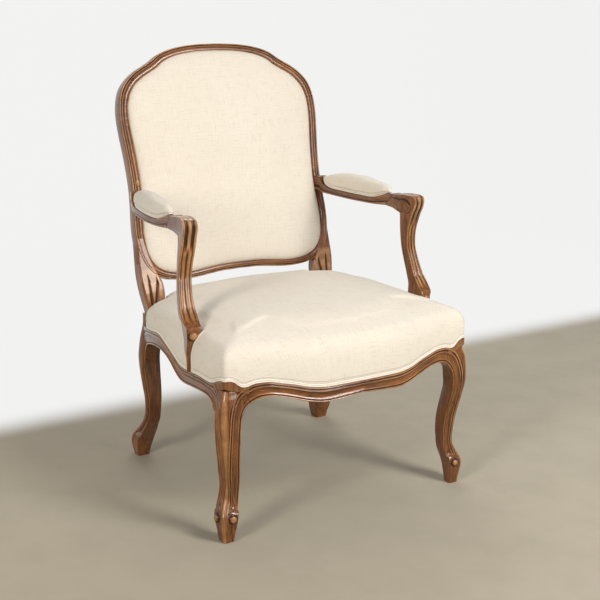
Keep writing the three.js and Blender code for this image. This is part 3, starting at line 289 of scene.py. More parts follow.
# %% [markdown]
# The moulding of this chair is one carved profile that runs over rails, legs and back frame: a
# bead, a groove, a fine bead, a broad hollow, a second groove and a last bead. Each row is a
# share of the width, the depth below the outer face, and the tone.

# %%
MOULDING = [
    (0, 1.7, -.2), (.02, .7, .3), (.065, 0, 1), (.115, .5, .4), (.145, 1.9, -.9), (.175, 2.3, -1),
    (.205, 1.8, -.8), (.23, .9, .2), (.265, .45, .9), (.305, 1, .3), (.34, 1.9, -.3),
    (.42, 2.8, -.3), (.52, 3.3, -.1), (.62, 3.2, .1), (.7, 2.6, .2), (.76, 1.6, .5),
    (.79, 1.1, .8), (.815, 1.6, 0), (.835, 2.8, -1), (.865, 2.7, -1), (.89, 1, 0), (.94, 0, 1),
    (.98, .6, .4), (1, 1.8, 0),
]
FINE = []
for k in range(len(MOULDING) - 1):
    FINE += [row_at(MOULDING, lerp(MOULDING[k][0], MOULDING[k + 1][0], s)) for s in (0, 0.5)]
FINE.append(MOULDING[-1])
FINE_TONES = [tone for _, _, tone in FINE]
print("points across the moulding:", len(FINE))


# %% [markdown]
# Stations along the outer edge of the seat frame say where the wood's face is, which way is
# inwards, and at which levels the moulding begins and ends.

# %%
def levels(row):
    return ARCH_FOOT + row[2] * ARCH_HEIGHT, ARCH_FOOT + row[3] * ARCH_HEIGHT


def station(found, x, step=3):
    return found(x), (found(x + step) - found(x - step)).normalized()


def front_place(x):
    bow = row_at(FRONT_RAIL_SHARES, abs(x) / CORNER_X)[1]
    return Vector((x, -CORNER_Y - bow * BOW))


def front_station(x):
    outer, along = station(front_place, x)
    return outer, Vector((-along.y, along.x)), *levels(row_at(FRONT_RAIL_SHARES, abs(x) / CORNER_X))


def side_x(y):
    way = (y + CORNER_Y) / SIDE_SPAN
    bulge = row_at(SIDE_RAIL_SHARES, way)[1]
    return CORNER_X + (SIDE_REAR_X - CORNER_X) * way + bulge * REBATE * 2


def side_station(side, y):
    outer, along = station(lambda way: Vector((side * side_x(way), way)), y)
    row = row_at(SIDE_RAIL_SHARES, (y + CORNER_Y) / SIDE_SPAN)
    return outer, Vector((-along.y, along.x)) * side, *levels(row)


def corner_station(side, share):
    a = front_station(side * (CORNER_X - CORNER_RADIUS))
    b = side_station(side, -CORNER_Y + CORNER_RADIUS)
    c = Vector((side * CORNER_X, -CORNER_Y))
    outer = a[0] * (1 - share) ** 2 + c * 2 * share * (1 - share) + b[0] * share ** 2
    along = ((c - a[0]) * (1 - share) + (b[0] - c) * share).normalized()
    return outer, Vector((-along.y, along.x)) * side, a[2], lerp(a[3], b[3], share)


def at_depth(s, depth, z):
    p = s[0] + s[1] * depth
    return (p.x, p.y, z)


# %% [markdown]
# ## Seat rails
# The real rails are sawn to their bow and arch, then carved. Each is swept along its stations
# with the moulding on its face and a plain tacking edge above, set back for the cloth.

# %%
def rail_ring(s):
    low, mould = s[2], s[3]
    face = [at_depth(s, depth, lerp(mould, low, t)) for t, depth, _ in FINE]
    back = [(3, low - .2), (RAIL_DEPTH - 2, low), (RAIL_DEPTH, low + 2), (RAIL_DEPTH, FRAME_TOP - 1),
            (RAIL_DEPTH - 1, FRAME_TOP), (REBATE + 1, FRAME_TOP), (REBATE, FRAME_TOP - 1), (REBATE, mould)]
    return face + [at_depth(s, depth, z) for depth, z in back]


RAIL_TONES = FINE_TONES + [0] * 8
front_rail = sweep("carved_front_rail",
                   [rail_ring(front_station(x)) for x in spread(-FRONT_JOINT, FRONT_JOINT, 150)], RAIL_TONES)


def side_rail(side, word):
    rings = [rail_ring(side_station(side, y)) for y in spread(-SIDE_JOINT, REAR_SIDE_JOINT, 150)]
    return sweep(f"carved_{word}_side_rail", rings, RAIL_TONES)


side_rails = both(side_rail)
print("rails:", front_rail.name, [rail.name for rail in side_rails.values()])

# %% [markdown]
# ## Front legs
# A cabriole leg is cut from a square billet. Its two outer faces carry the rails' moulding,
# which bends down out of the rail and ends at a small round boss on the toe. Between the two
# ribbons the corner stays plain and round, wide at the knee and thin at the ankle. The leg here
# is a core, the two ribbons let into it, the block under the cloth, and the bosses.

# %%
FRONT_HEAD = [
    (244.3, 327.2, 244.3, 289.4), (252, 325.7, 248.5, 284.5), (262, 319.5, 252, 279.5),
    (270, 311, 255, 274.5), (276.5, 299.5, 258, 267), (281.3, 286, 260.2, 258.5),
    (284.8, 272, 261.2, 250), (286.4, 257, 261.2, 243),
]
SIDE_HEAD = [
    (-228.3, 327.6, -228.3, 277.3), (-236, 326, -231.5, 272.5), (-246, 319.5, -235, 267),
    (-254, 311, -237.5, 261), (-260, 299.5, -239.5, 256), (-264.2, 286, -240.8, 251),
    (-266.6, 272, -241.2, 246.5), (-267.6, 257, -241.2, 241),
]
SHAFT = [
    (50, 20), (56, 17), (67, 13), (88, 9), (108, 7.5), (125, 6), (144, 6), (168, 8), (190, 10),
    (225, 13.5), (250, 16), (270, 17), (287, 20), (300, 25), (311, 31.5), (320, 39.5), (330, 46),
]
BOSS_LEVEL, BOSS_RADIUS = 53, 10
LEG_TOP = 344
# x and y of a leg's axis, each with the distance that its shares are parts of
FRONT_LEG_SPOT, REAR_LEG_SPOT = (286, 16, -256, 16), (251, 56, 255, 56)


def leg_row(front, z):
    rows, top, spot = ((FRONT_LEG_SHARES, LEG_TOP, FRONT_LEG_SPOT) if front
                       else (REAR_LEG_SHARES, FRAME_TOP, REAR_LEG_SPOT))
    _, out, back, size = row_at(rows, min(z / top, 1))
    return spot[0] + out * spot[1], spot[2] + back * spot[3], size * LEG_SIDE


def arc(centre, radius, start, end, count):
    return [(centre[0] + radius * math.cos(lerp(start, end, k / count)),
             centre[1] + radius * math.sin(lerp(start, end, k / count))) for k in range(count + 1)]


def leg_ring(side, front, z, shaft, on_end_face, sunk, back):
    """A level of a leg: a and b are the distances from its outer side face and its end face."""
    x, y, w = leg_row(front, z)
    round_by = min(shaft * 0.9, w * 0.3, CORNER_RADIUS) if on_end_face else w * 0.16
    turn = back + round_by
    end = sunk if on_end_face else back
    points = [(w - 1.5, end), (lerp(w, shaft, .5), end), (shaft + .6, end), (shaft, back + 1),
              (shaft - 1.3, back)]
    points += arc((turn, turn), round_by, -math.pi / 2, -math.pi, 10)
    points += [(back, shaft - 1.3), (back + 1, shaft), (sunk, shaft + .6), (sunk, lerp(w, shaft, .5)),
               (sunk, w - 1.5)]
    points += [(sunk + 1.5, w), (w / 2, w), (w - 3, w), (w - .9, w - .9), (w, w - 3), (w, w / 2),
               (w, end + 1.5)]
    way = -1 if front else 1
    return [(side * (x + w / 2 - a), y + way * (w / 2 - b), z) for a, b in points]


# Tones round a leg's level: painted shade at the two steps beside the rounded corner, and the corner lighter
# towards its middle, partly wear and partly a painted highlight.
LEG_TONES = [0, 0, -1, -1, .1, .2, .3, .5, .8, 1, 1, 1, .8, .5, .3, .2, .1, -1, -1] + [0] * 9


# %% [markdown]
# The ribbon lies on two curved faces: the rail's face at the top, and the leg's own face lower
# down. These functions blend one into the other, so that the carving turns the corner unbroken.

# %%
RAIL_TO_LEG = (318, 215)
FRONT_LEVELS = (240, 225, 210, 195, 180, 165, 150, 135, 122, 110, 98, 88, 79, 71, 64.5)


def front_face_y(x, z):
    _, y, w = leg_row(True, z)
    rail = front_place(min(x, CORNER_X)).y
    return lerp(rail, y - w / 2, max(smooth(x, 246, 284), smooth(z, *RAIL_TO_LEG)))


def side_face_x(y, z):
    x, _, w = leg_row(True, z)
    rail = side_x(max(y, -CORNER_Y))
    return lerp(rail, x + w / 2, max(smooth(-y, 230, 266), smooth(z, *RAIL_TO_LEG)))


def front_ribbon_rows():
    rows, sides = list(FRONT_HEAD), list(SIDE_HEAD)
    for z in FRONT_LEVELS:
        x, y, w = leg_row(True, z)
        shaft = row_at(SHAFT, z)[1]
        inner_z = z - 4 * smooth(z, 225, 240)
        rows.append((x + w / 2 - shaft, z, x - w / 2, inner_z))
        sides.append((y - w / 2 + shaft, z, y + w / 2, inner_z))
    return rows, sides


def toe_dip(z):
    """The moulding sinks into the wood where it ends above the toe."""
    return 2.4 * (1 - smooth(z, 62, 82))


def ribbon(name, rows, to_face, count, thick=7):
    line = [(t, depth) for t, depth, _ in FINE] + [(1, thick), (0, thick)]
    rings = [[to_face(lerp(a1, a2, t), lerp(z1, z2, t), depth) for t, depth in line]
             for a1, z1, a2, z2 in curve(rows, count)]
    return sweep(name, rings, FINE_TONES + [0, 0])


# %% [markdown]
# A boss is a small button in a sunk ring, as a carver leaves at the end of a scroll. It could be
# turned from a profile, but a ball pressed flat and a ring round it, painted dark as the sunk
# ring's shade, give the same look from two plain primitives. The button is lighter on its crown,
# partly wear and partly a painted highlight. A low dome, pressed more, serves for the other small
# ovals.

# %%
def settle(piece, name, spot, turn, tone_at):
    """Turns and moves a primitive's mesh, and keeps each point's tone."""
    piece.name = name
    piece.data.transform(Matrix.Translation(spot) @ turn)
    note(piece, "relief", [tone_at(vertex.co) for vertex in piece.data.vertices])
    only(piece)
    bpy.ops.object.shade_smooth()
    return piece


def pressed_ball(radius, size, rounds):
    bpy.ops.mesh.primitive_uv_sphere_add(segments=2 * rounds, ring_count=rounds, radius=radius)
    bpy.ops.transform.resize(value=size)
    bpy.ops.object.transform_apply(location=False, rotation=False, scale=True)
    return bpy.context.active_object


def boss(name, centre, facing, radius):
    bpy.ops.mesh.primitive_torus_add(major_radius=(radius - 1.6) * MM, minor_radius=1.9 * MM,
                                     major_segments=48, minor_segments=14)
    ring = bpy.context.active_object
    button = pressed_ball((radius - 2.4) * MM, (1, 1, 0.55), 18)
    turn = Vector(facing).to_track_quat("Z", "Y").to_matrix().to_4x4()
    away = Vector(facing).normalized()
    spot = Vector(place(centre))

    # Lighter on the crown and darker at the foot: wear with a painted highlight and painted shade.
    def tone(co):
        return max(-1, min((co - spot).dot(away) / MM / (radius * .28) - .4, 1))

    # The ring's tone of -1 is painted shade.
    return [settle(ring, name, spot - away * 1.3 * MM, turn, lambda co: -1), settle(button, name, spot, turn, tone)]


def oval(name, spot, turn, size, value=.55):
    dome = pressed_ball(1, [v * MM for v in size], 20)
    return settle(dome, name, Vector(place(spot)), turn, lambda co: value)


# %% [markdown]
# The core of a leg is a stack of squarish sections with a rounded outer corner. At its top sits
# the block that shows between the rails, plain and a little proud of the cloth's edge. A painted
# shadow darkens the block's foot and the top of the core under it.

# %%
BEHIND_RIBBON = 4.6
TOE_TOP, BLOCK_FOOT, BLOCK_LOW = (60, 74), (321.5, 323.5), 330


def front_core(side):
    rings, tones = [], []
    for z in [0, 1.2] + spread(3, BLOCK_LOW, 130):
        sunk = lerp(.4, BEHIND_RIBBON, smooth(z, *TOE_TOP)) + 3.5 * smooth(z, 225, 270)
        back = lerp(.8, 3.2, smooth(z, 300, 321)) + 3 * smooth(z, *BLOCK_FOOT)
        foot = 1 if z > 1 else 2.2
        back = max(back if z > 64 else .4, foot)
        rings.append(leg_ring(side, True, z, row_at(SHAFT, z)[1], True, max(sunk, foot), back))
        # Below the toe's top the leg's painted shade fades out; just under the block every tone turns to -1, a
        # painted shadow.
        shade = smooth(z, 60, 76)
        top = smooth(z, BLOCK_FOOT[0] - .5, BLOCK_FOOT[1])
        tones.append([lerp(tone if tone > 0 else tone * shade, -1, top) for tone in LEG_TONES])
    return sweep("core", rings, tones, angle=40)


def front_block(side):
    """The block round the corner, and what closes the leg behind the ends of the two rails."""
    stations = [front_station(side * x) for x in spread(FRONT_JOINT + GAP, CORNER_X - CORNER_RADIUS, 24)]
    stations += [corner_station(side, t) for t in spread(.08, .92, 9)]
    stations += [side_station(side, y) for y in spread(-CORNER_Y + CORNER_RADIUS, -SIDE_JOINT - GAP, 24)]
    corner = stations[len(stations) // 2][0]
    rings = []
    for s in stations:
        foot, mould = 327 - .32 * (s[0] - corner).length, s[3]
        line = [(2.4, foot), (1.4, foot + .5), (1, foot + 1.4), (1, mould - 1), (1.8, mould), (REBATE, mould),
                (REBATE, FRAME_TOP - 1), (REBATE + 1, FRAME_TOP), (RAIL_DEPTH, FRAME_TOP), (RAIL_DEPTH, foot)]
        rings.append([at_depth(s, depth, z) for depth, z in line])
    # Painted shadow: the cap's tone is -1 along its foot, the quirk line.
    made = [sweep("cap", rings, [-1, -.4, .5, .3, .4, 0, 0, 0, 0, 0])]
    for group in (stations[:14], stations[-14:]):
        made.append(sweep("fill", [[at_depth(s, depth, z) for depth, z in (
            (BEHIND_RIBBON, s[2]), (BEHIND_RIBBON, BLOCK_LOW), (RAIL_DEPTH, BLOCK_LOW),
            (RAIL_DEPTH, s[2]))] for s in group]))
    return made


def front_leg(side, word):
    parts = [front_core(side), *front_block(side)]
    rows, sides = front_ribbon_rows()
    parts.append(ribbon("front_ribbon", rows,
                        lambda x, z, d: (side * x, front_face_y(x, z) + d + toe_dip(z), z), 170))
    parts.append(ribbon("side_ribbon", sides,
                        lambda y, z, d: (side * (side_face_x(y, z) - d - toe_dip(z)), y, z), 170))
    x, y, w = leg_row(True, BOSS_LEVEL)
    parts += boss("toe_boss", (side * (x - 6), y - w / 2 - .2, BOSS_LEVEL), (0, -1, .1), BOSS_RADIUS)
    parts += boss("toe_boss", (side * (x + w / 2 + .2), y + 6, BOSS_LEVEL), (side, 0, .1), BOSS_RADIUS)
    return joined(f"carved_{word}_front_leg", parts)


front_legs = both(front_leg)
print("front legs:", [len(leg.data.polygons) for leg in front_legs.values()])

# %% [markdown]
# ## Back frame and rear uprights
# A rear upright is one long piece: the foot, the seat block, the fluted lower stile and the
# moulded stile beside the back. The crest rail and the bottom rail close the frame. All of the
# back leans about the bottom of its opening, so it is drawn flat and leaned as it is placed.

# %%
def on_back(u, v, w):
    return (u, BACK_FACE + w * math.cos(LEAN) + v * math.sin(LEAN),
            OPENING_LOW + v * math.cos(LEAN) - w * math.sin(LEAN))


OPENING = [(u * OPENING_HALF, v * OPENING_HIGH, wide * FRAME_WIDE) for u, v, wide in OPENING_SHARES]


def opening_at(share):
    """Place, outward direction and moulding width; share runs round the right half and back."""
    def spot(s):
        s = s % 2
        u, v, wide = curve_at(OPENING, s if s <= 1 else 2 - s)
        return (u if s <= 1 else -u), v, wide
    u, v, wide = spot(share)
    along = heading(spot(share - .004), spot(share + .004))
    return u, v, wide, -along.y, along.x


def share_where(test):
    low, high = 0.3, 1.0
    for _ in range(40):
        middle = (low + high) / 2
        low, high = (middle, high) if test(curve_at(OPENING, middle)) else (low, middle)
    return low


CREST_SHARE = share_where(lambda p: p[1] > CREST_JOINT)
BOTTOM_SHARE = share_where(lambda p: p[0] > BOTTOM_JOINT)


# %% [markdown]
# A ring of the frame has the moulding in front and a rebate behind, for the outer cloth. Where two
# pieces meet, the last ring is pressed flat onto the joint, so that both ends match.

# %%
def back_ring(share, flat=None):
    u, v, wide, out_u, out_v = opening_at(share)
    line = [(lerp(wide, 0, t), depth) for t, depth, _ in FINE]
    line += [(0, 21), (1, 23), (7, 23), (7, 33), (8, 34), (wide - 4, 34), (wide - 1, 32), (wide, 29),
             (wide + .2, 14), (wide + .1, 5)]
    ring = []
    for out, depth in line:
        a, b = u + out_u * out, v + out_v * out
        if flat:
            a, b = (flat[1], b) if flat[0] == "u" else (a, flat[1])
        ring.append(on_back(a, b, depth))
    return ring


BACK_TONES = FINE_TONES + [0] * 10


def back_part(name, start, end, count, flats):
    shares = spread(start, end, count)
    rings = [back_ring(s) for s in shares]
    rings[0], rings[-1] = back_ring(start, flats[0]), back_ring(end, flats[1])
    return sweep(name, rings, BACK_TONES)


crest = back_part("carved_crest_rail", -CREST_SHARE, CREST_SHARE, 260,
                  (("v", CREST_JOINT + GAP), ("v", CREST_JOINT + GAP)))
bottom = back_part("carved_bottom_rail", BOTTOM_SHARE, 2 - BOTTOM_SHARE, 120,
                   (("u", BOTTOM_JOINT - GAP), ("u", -BOTTOM_JOINT + GAP)))
print("crest and bottom rail:", len(crest.data.polygons), len(bottom.data.polygons))

# %% [markdown]
# The lower stile has three ribs with two pointed flutes between them, which lean outwards as
# they run down. A flute's depth fades to nothing at both ends, as a gouge leaves it. The flutes
# are painted dark as their shade, the ribs are lightened with a painted highlight, and the face is
# darker towards its bottom.

# %%
FLUTES = [  # for each flute: level, middle and half width as parts of the stile's width
    [(-96, .72, .02), (-84, .7, .07), (-68, .69, .085), (-50, .67, .06), (-35, .65, .055),
     (-22, .625, .045), (-10, .6, .01)],
    [(-94, .5, .02), (-82, .46, .08), (-66, .42, .1), (-50, .35, .08), (-38, .29, .07),
     (-28, .24, .05), (-17, .2, .01)],
]
FLUTE_DEPTH = 4.2


def flute_depth(v, across):
    # A rib's tone of .95 is a painted highlight; a flute's low tone is painted shade.
    depth, tone = 0, .95
    for rows in FLUTES:
        if rows[0][0] < v < rows[-1][0]:
            _, middle, half = row_at(rows, v)
            near = max(0, 1 - (abs(across - middle) / half) ** 2)
            depth = max(depth, FLUTE_DEPTH * near ** .6 * smooth(half, 0, .07))
            tone = min(tone, .95 - 1.65 * near ** .5)
    return depth, tone


def lower_stile(side):
    rings, tones = [], []
    for v in spread(-122, 73, 110):
        _, inner, outer = row_at(LOWER_STILE_SHARES, v / OPENING_HIGH)
        a, b = inner * OPENING_HALF, outer * OPENING_HALF
        face = []
        for k in range(61):
            t = k / 60
            depth, tone = flute_depth(v, t)
            edge = 2.6 * (max(0, 1 - t / .09) ** 2 + max(0, 1 - (1 - t) / .09) ** 2)
            # The middle of the face is darker towards its bottom.
            dark = -.35 * (1 - smooth(v, -96, -74)) * smooth(t, .1, .3) * (1 - smooth(t, .8, .95))
            # Painted highlight on the ribs, faded out at both ends.
            rib_highlight = smooth(v, -80, -62) * (1 - smooth(v, -8, 12)) * (1 - smooth(t, .86, .95))
            face.append((lerp(a, b, t), edge + depth, min(tone, 0) + max(tone, 0) * rib_highlight + dark))
        line = [(u, w) for u, w, _ in face] + [
            (b, FRAME_THICK - 4), (b - 4, FRAME_THICK), (a + 4, FRAME_THICK), (a, FRAME_THICK - 4)]
        rings.append([on_back(side * u, v, w + 1.4 * smooth(v, -34, 10)) for u, w in line])
        tones.append([tone for _, _, tone in face] + [0] * 4)
    return sweep("lower_stile", rings, tones)


# %% [markdown]
# A rear upright's foot sweeps backwards. Its core is made as the front leg's is, with one ribbon
# on the outer side. The stile and the lower stile join it, so the piece is one, as in the wood.

# %%
REAR_LEVELS = (222, 205, 188, 170, 152, 135, 118, 102, 88, 76, 66)
REAR_SHAFT = [(50, 15), (70, 12), (100, 11), (150, 13), (200, 17), (235, 21), (265, 23.5), (300, 25), (340, 27)]
REAR_HEAD = [
    (184.3, 336.6, 184.3, 267.5), (191.5, 331, 186.3, 262), (198, 320, 188.4, 255.5),
    (202.5, 304, 189.5, 249), (205.2, 286, 190, 242), (206.8, 264, 190, 234), (207.4, 243, 189.8, 224),
]
UPRIGHT_FRONT, DROP_LEVEL = 199, 199


def rear_face_x(y, z):
    x, _, w = leg_row(False, z)
    return lerp(side_x(min(y, UPRIGHT_FRONT)), x + w / 2, max(smooth(y, 187, 205), smooth(z, 250, 225)))


def rear_core(side):
    rings = []
    for z in [0, 1.2] + spread(3, FRAME_TOP, 110):
        foot = .5 if z > 1 else 2
        sunk = lerp(.5, 4.4, smooth(z, 58, 66))
        rings.append(leg_ring(side, False, z, row_at(REAR_SHAFT, z)[1], False, max(sunk, foot), foot))
    return sweep("core", rings, angle=40)


def rear_fill(side):
    rings = []
    for y in spread(REAR_SIDE_JOINT + GAP, UPRIGHT_FRONT, 10):
        s = side_station(side, y)
        low, mould = s[2], s[3]
        line = [(BEHIND_RIBBON, low), (BEHIND_RIBBON, mould - 16), (1.2, mould - 10), (1.2, mould - 1), (2, mould),
                (REBATE, mould), (REBATE, FRAME_TOP - 1), (REBATE + 1, FRAME_TOP), (RAIL_DEPTH, FRAME_TOP),
                (RAIL_DEPTH, low)]
        rings.append([at_depth(s, depth, z) for depth, z in line])
    return sweep("fill", rings)


def rear_ribbon(side):
    rows = list(REAR_HEAD)
    for z in REAR_LEVELS:
        _, y, w = leg_row(False, z)
        rows.append((y + w / 2 - row_at(REAR_SHAFT, z)[1], z, y - w / 2, z - 6 * smooth(z, 190, 222)))
    return ribbon("rear_ribbon", rows, lambda y, z, d: (side * (rear_face_x(y, z) - d), y, z), 150, 6)


def rear_upright(side, word):
    block = sweep("block", [[(side * x, y, z) for y, z in ((198.4, 292), (198.4, 355), (223.4, 355), (223.4, 292))]
                            for x in (205.5, 236)])
    shares = (CREST_SHARE, BOTTOM_SHARE) if side > 0 else (2 - BOTTOM_SHARE, 2 - CREST_SHARE)
    flats = [("v", CREST_JOINT), ("u", side * BOTTOM_JOINT)]
    stile = back_part("stile", *shares, 200, flats if side > 0 else flats[::-1])
    u, _, wide = curve_at(OPENING, share_where(lambda p: p[1] > DROP_LEVEL))
    drop = oval("drop", on_back(side * (u + wide * .46), DROP_LEVEL, 3.2),
                Matrix.Rotation(-LEAN, 4, "X") @ Matrix.Rotation(side * .05, 4, "Y"), (4.6, 2.8, 9))
    return joined(f"carved_{word}_rear_upright", [rear_core(side), rear_fill(side), rear_ribbon(side),
                                                  block, stile, lower_stile(side), drop])


uprights = both(rear_upright)
print("uprights:", [len(piece.data.polygons) for piece in uprights.values()])

# %% [markdown]
# ## Arms
# An arm support rises from the side rail, leans back and ends in a knuckle, to which the armrest
# is glued at a slant. Its front carries two reeds between edge beads. They run up over the
# knuckle, whose sides have a cut spiral, and end below on a button.

# %%
REEDS = [
    (0, 1.6, 0), (.035, .4, .4), (.08, 0, .8), (.125, .6, .2), (.155, 1.7, -1), (.19, 1.2, -.5),
    (.24, .3, .4), (.32, 0, 1), (.4, .4, .5), (.455, 1.4, -.6), (.5, 2.1, -1), (.545, 1.4, -.6),
    (.6, .4, .5), (.68, 0, 1), (.76, .3, .4), (.81, 1.2, -.5), (.845, 1.7, -1), (.875, .6, .2),
    (.92, 0, .8), (.965, .4, .4), (1, 1.6, 0),
]
SUPPORT_LOW, SUPPORT_HIGH, SUPPORT_REACH, SUPPORT_WIDE = 317, 312, 92, 30


def channel(t):
    """The two hollows under the knuckle, in which the reeds begin with rounded ends."""
    near = max(1 - ((abs(t - .5) - .225) / .135) ** 2, 0)
    edge = 1.4 * max(0, 1 - min(t, 1 - t) / .04)
    # The second value is the tone: the hollows are painted dark as their shade.
    return edge + 3 * near ** .5, 1 - 1.9 * min(near * 2.2, 1)


SUPPORT_X, SUPPORT_Y = 275, -25


def arm_point(side, reach, shift, z):
    """A place by its distance forwards along the arm and its shift outwards from the arm's line."""
    return (side * (SUPPORT_X + reach * math.sin(ARM_TURN) + shift * math.cos(ARM_TURN)),
            SUPPORT_Y - reach * math.cos(ARM_TURN) + shift * math.sin(ARM_TURN), z)


def support_section(row, room=0):
    """A section's front and rear as reach and height, half its width, and its shift."""
    fr, fu, br, bu, wide, out = row
    return ((fr * SUPPORT_REACH + room, SUPPORT_LOW + fu * SUPPORT_HIGH),
            (br * SUPPORT_REACH - room, SUPPORT_LOW + bu * SUPPORT_HIGH),
            wide * SUPPORT_WIDE / 2 + room, out * SUPPORT_WIDE)


# %% [markdown]
# The body of a support is swept upwards. In each section the front edge takes the reeds' profile,
# or under the knuckle the two hollows', and the flanks and the back stay plain and slightly round.

# %%
REED_ROWS = [row_at(REEDS, k / 48) for k in range(49)]
SECTION_TURN = math.radians(6)


def support_ring(side, row, share):
    front, rear, half, lap = support_section(row)
    length = math.hypot(front[0] - rear[0], front[1] - rear[1])
    carve = smooth(share, .27, .33) * (1 - .3 * smooth(share, .9, 1))
    middle = (front[0] + rear[0]) / 2
    twist = SECTION_TURN * (1 - smooth(share, .8, .98))

    def at(along, shift):
        reach = lerp(rear[0], front[0], along) - middle
        return arm_point(side, middle + reach * math.cos(twist) - shift * math.sin(twist),
                         lap + reach * math.sin(twist) + shift * math.cos(twist), lerp(rear[1], front[1], along))

    ring, tones = [], []
    hollow = smooth(front[1], 552, 580) * (1 - .7 * smooth(share, .79, .84)) * (1 - smooth(share, .95, 1))
    for t, depth, value in REED_ROWS:
        deep, dark = channel(t)
        depth, value = lerp(depth, deep, hollow), lerp(value, dark, hollow)
        edge = 2 * (max(0, 1 - t / .12) ** 2 + max(0, 1 - (1 - t) / .12) ** 2)
        ring.append(at(1 - lerp(edge, depth, carve) / length, lerp(-half, half, t)))
        # The front's tones are raised by .25 over the flanks: partly wear, partly a painted highlight.
        tones.append(value * carve + .25)
    outer = [(1 - 4 / length, half), (.7, half + .25), (.4, half + .1), (4 / length, half - .2),
             (1.5 / length, half - 1.5), (0, half - 4)]
    rest = outer + [(0, 0)] + [(along, -shift) for along, shift in outer[::-1]]
    return ring + [at(along, shift) for along, shift in rest], tones + [0] * len(rest)


def support_body(side):
    keys = curve(SUPPORT_SHARES, 220)
    rings, tones = zip(*(support_ring(side, row, i / 220) for i, row in enumerate(keys)))
    return sweep("body", rings, tones, angle=38)


# %% [markdown]
# The knuckle's inner side has a cut spiral that ends at a raised eye, and a dark glued seam shows
# where the armrest meets it. The spiral is a thin ridge swept along a drawn line and painted dark
# as the cut's shade. The eye is one dome set in a wider one, which is painted dark as the shade of
# the hollow round the eye.

# %%
SCROLL = [(14, 621), (28, 620), (42, 620), (56, 621), (66, 618.5), (74, 613), (78, 605), (75.5, 597), (68, 592),
          (58, 591), (49, 594)]
KNUCKLE_LAP, KNUCKLE_HALF, KNUCKLE_MIDDLE = .12 * SUPPORT_WIDE, .51 * SUPPORT_WIDE, 62
BUTTON_SPOT, BUTTON_RADIUS, EYE_SPOT = (112.6, 6.5, 399), 12, (54, 606)
# The wider dome's tone of -1 is painted shade.
EYES = (("eye_hollow", -1, (1.6, 20.5, 15.5)), ("eye", 0, (3, 18.5, 13.5)))  # name, tone, half sizes
SEAM_HALF = 1.1
SEAM_PLATE = [(.03, -12.6), (.1, -15), (.9, -15), (.96, -12.6), (.96, 12.6), (.9, 15), (.1, 15), (.03, 12.6)]


def on_flank(side, reach, z, proud=0):
    """A place on the knuckle's inner side."""
    twist = SECTION_TURN * smooth(reach, 0, 60)
    along, off = reach - KNUCKLE_MIDDLE, KNUCKLE_HALF + proud
    return arm_point(side, KNUCKLE_MIDDLE + along * math.cos(twist) + off * math.sin(twist),
                     along * math.sin(twist) - off * math.cos(twist) - KNUCKLE_LAP, z)


def knuckle_scroll(side):
    rings = []
    line = curve(SCROLL, 60)
    for k, (reach, z) in enumerate(line):
        along = heading(line[max(k - 1, 0)], line[min(k + 1, 60)])
        thick = 2.1 * smooth(k, -6, 14) * (1 - .75 * smooth(k, 44, 60))
        rings.append([on_flank(side, reach - along.y * thick * math.cos(a), z + along.x * thick * math.cos(a),
                               .35 * thick * math.sin(a)) for a in spread(0, 2 * math.pi, 10)[:-1]])
    # The spiral's tone of -1 is painted shade.
    return sweep("scroll", rings, [-1] * 10)


def joint_seam(side):
    front, rear, _, _ = support_section(SUPPORT_SHARES[-1])
    rings = [[arm_point(side, lerp(rear[0], front[0], t) + along, shift, lerp(rear[1], front[1], t))
              for t, shift in SEAM_PLATE] for along in (-SEAM_HALF, SEAM_HALF)]
    return sweep("joint_line", rings, [-1] * 8)


def arm_support(side, word):
    button = boss("foot_button", arm_point(side, *BUTTON_SPOT), (side * .1, -1, -.16), BUTTON_RADIUS)
    turn = Matrix.Rotation(side * (ARM_TURN + SECTION_TURN), 4, "Z")
    eyes = [oval(part, on_flank(side, *EYE_SPOT, -.2), turn, size, tone) for part, tone, size in EYES]
    parts = [support_body(side), *button, knuckle_scroll(side), *eyes, joint_seam(side)]
    return joined(f"carved_{word}_arm_support", parts)


supports = both(arm_support)
print("arm supports:", [len(piece.data.polygons) for piece in supports.values()])

# %% [markdown]
# An armrest bows outwards and falls towards the knuckle, where it ends on the slanting joint. Its
# flanks carry one bead and one groove, and its top is flat for the pad.

# %%
REST_X, REST_OUT, REST_Y, REST_LONG, REST_HALF = 243, 32, 250, 275, 17
REST_FLANK = [
    (.0, 3.4, -.3), (.06, 1.4, .2), (.14, .5, 1), (.24, 1.1, .2), (.3, 2.3, -1), (.36, 2, -.8),
    (.44, .9, 0), (.6, .1, .2), (.8, .2, .3), (.93, .9, .4), (1, 2.2, 0),
]


def arm_row(way):
    _, out, top, low, wide, slant = row_at(ARMREST_SHARES, way)
    return (REST_X + REST_OUT * out, REST_Y - REST_LONG * way, ARM_UNDER + top * ARM_RISE,
            ARM_UNDER + low * ARM_RISE, wide * REST_HALF, slant)


def armrest(side, word):
    rings = []
    middle = ARM_UNDER + ARM_RISE * .4
    for way in spread(0, .9983, 130):
        x, y, top, low, half, slant = arm_row(way)
        side_line = [(half - depth, lerp(low, top, t)) for t, depth, _ in REST_FLANK]
        line = side_line + [(-shift, z) for shift, z in reversed(side_line)]
        rings.append([(side * (x + shift), y - slant * .9 * (z - middle), z) for shift, z in line])
    tones = [tone for _, _, tone in REST_FLANK]
    return sweep(f"carved_{word}_armrest", rings, tones + tones[::-1], angle=38)


armrests = both(armrest)
print("armrests:", [len(piece.data.polygons) for piece in armrests.values()])

# %% [markdown]
# ## Cloth over stuffing
# The seat and the back are a woven cover drawn over a crowned stuffing. Each is a skin whose
# border is the tacked edge, drawn here as a closed line of rows that turns anticlockwise from the
# right.

# %%
CORD = 1.75


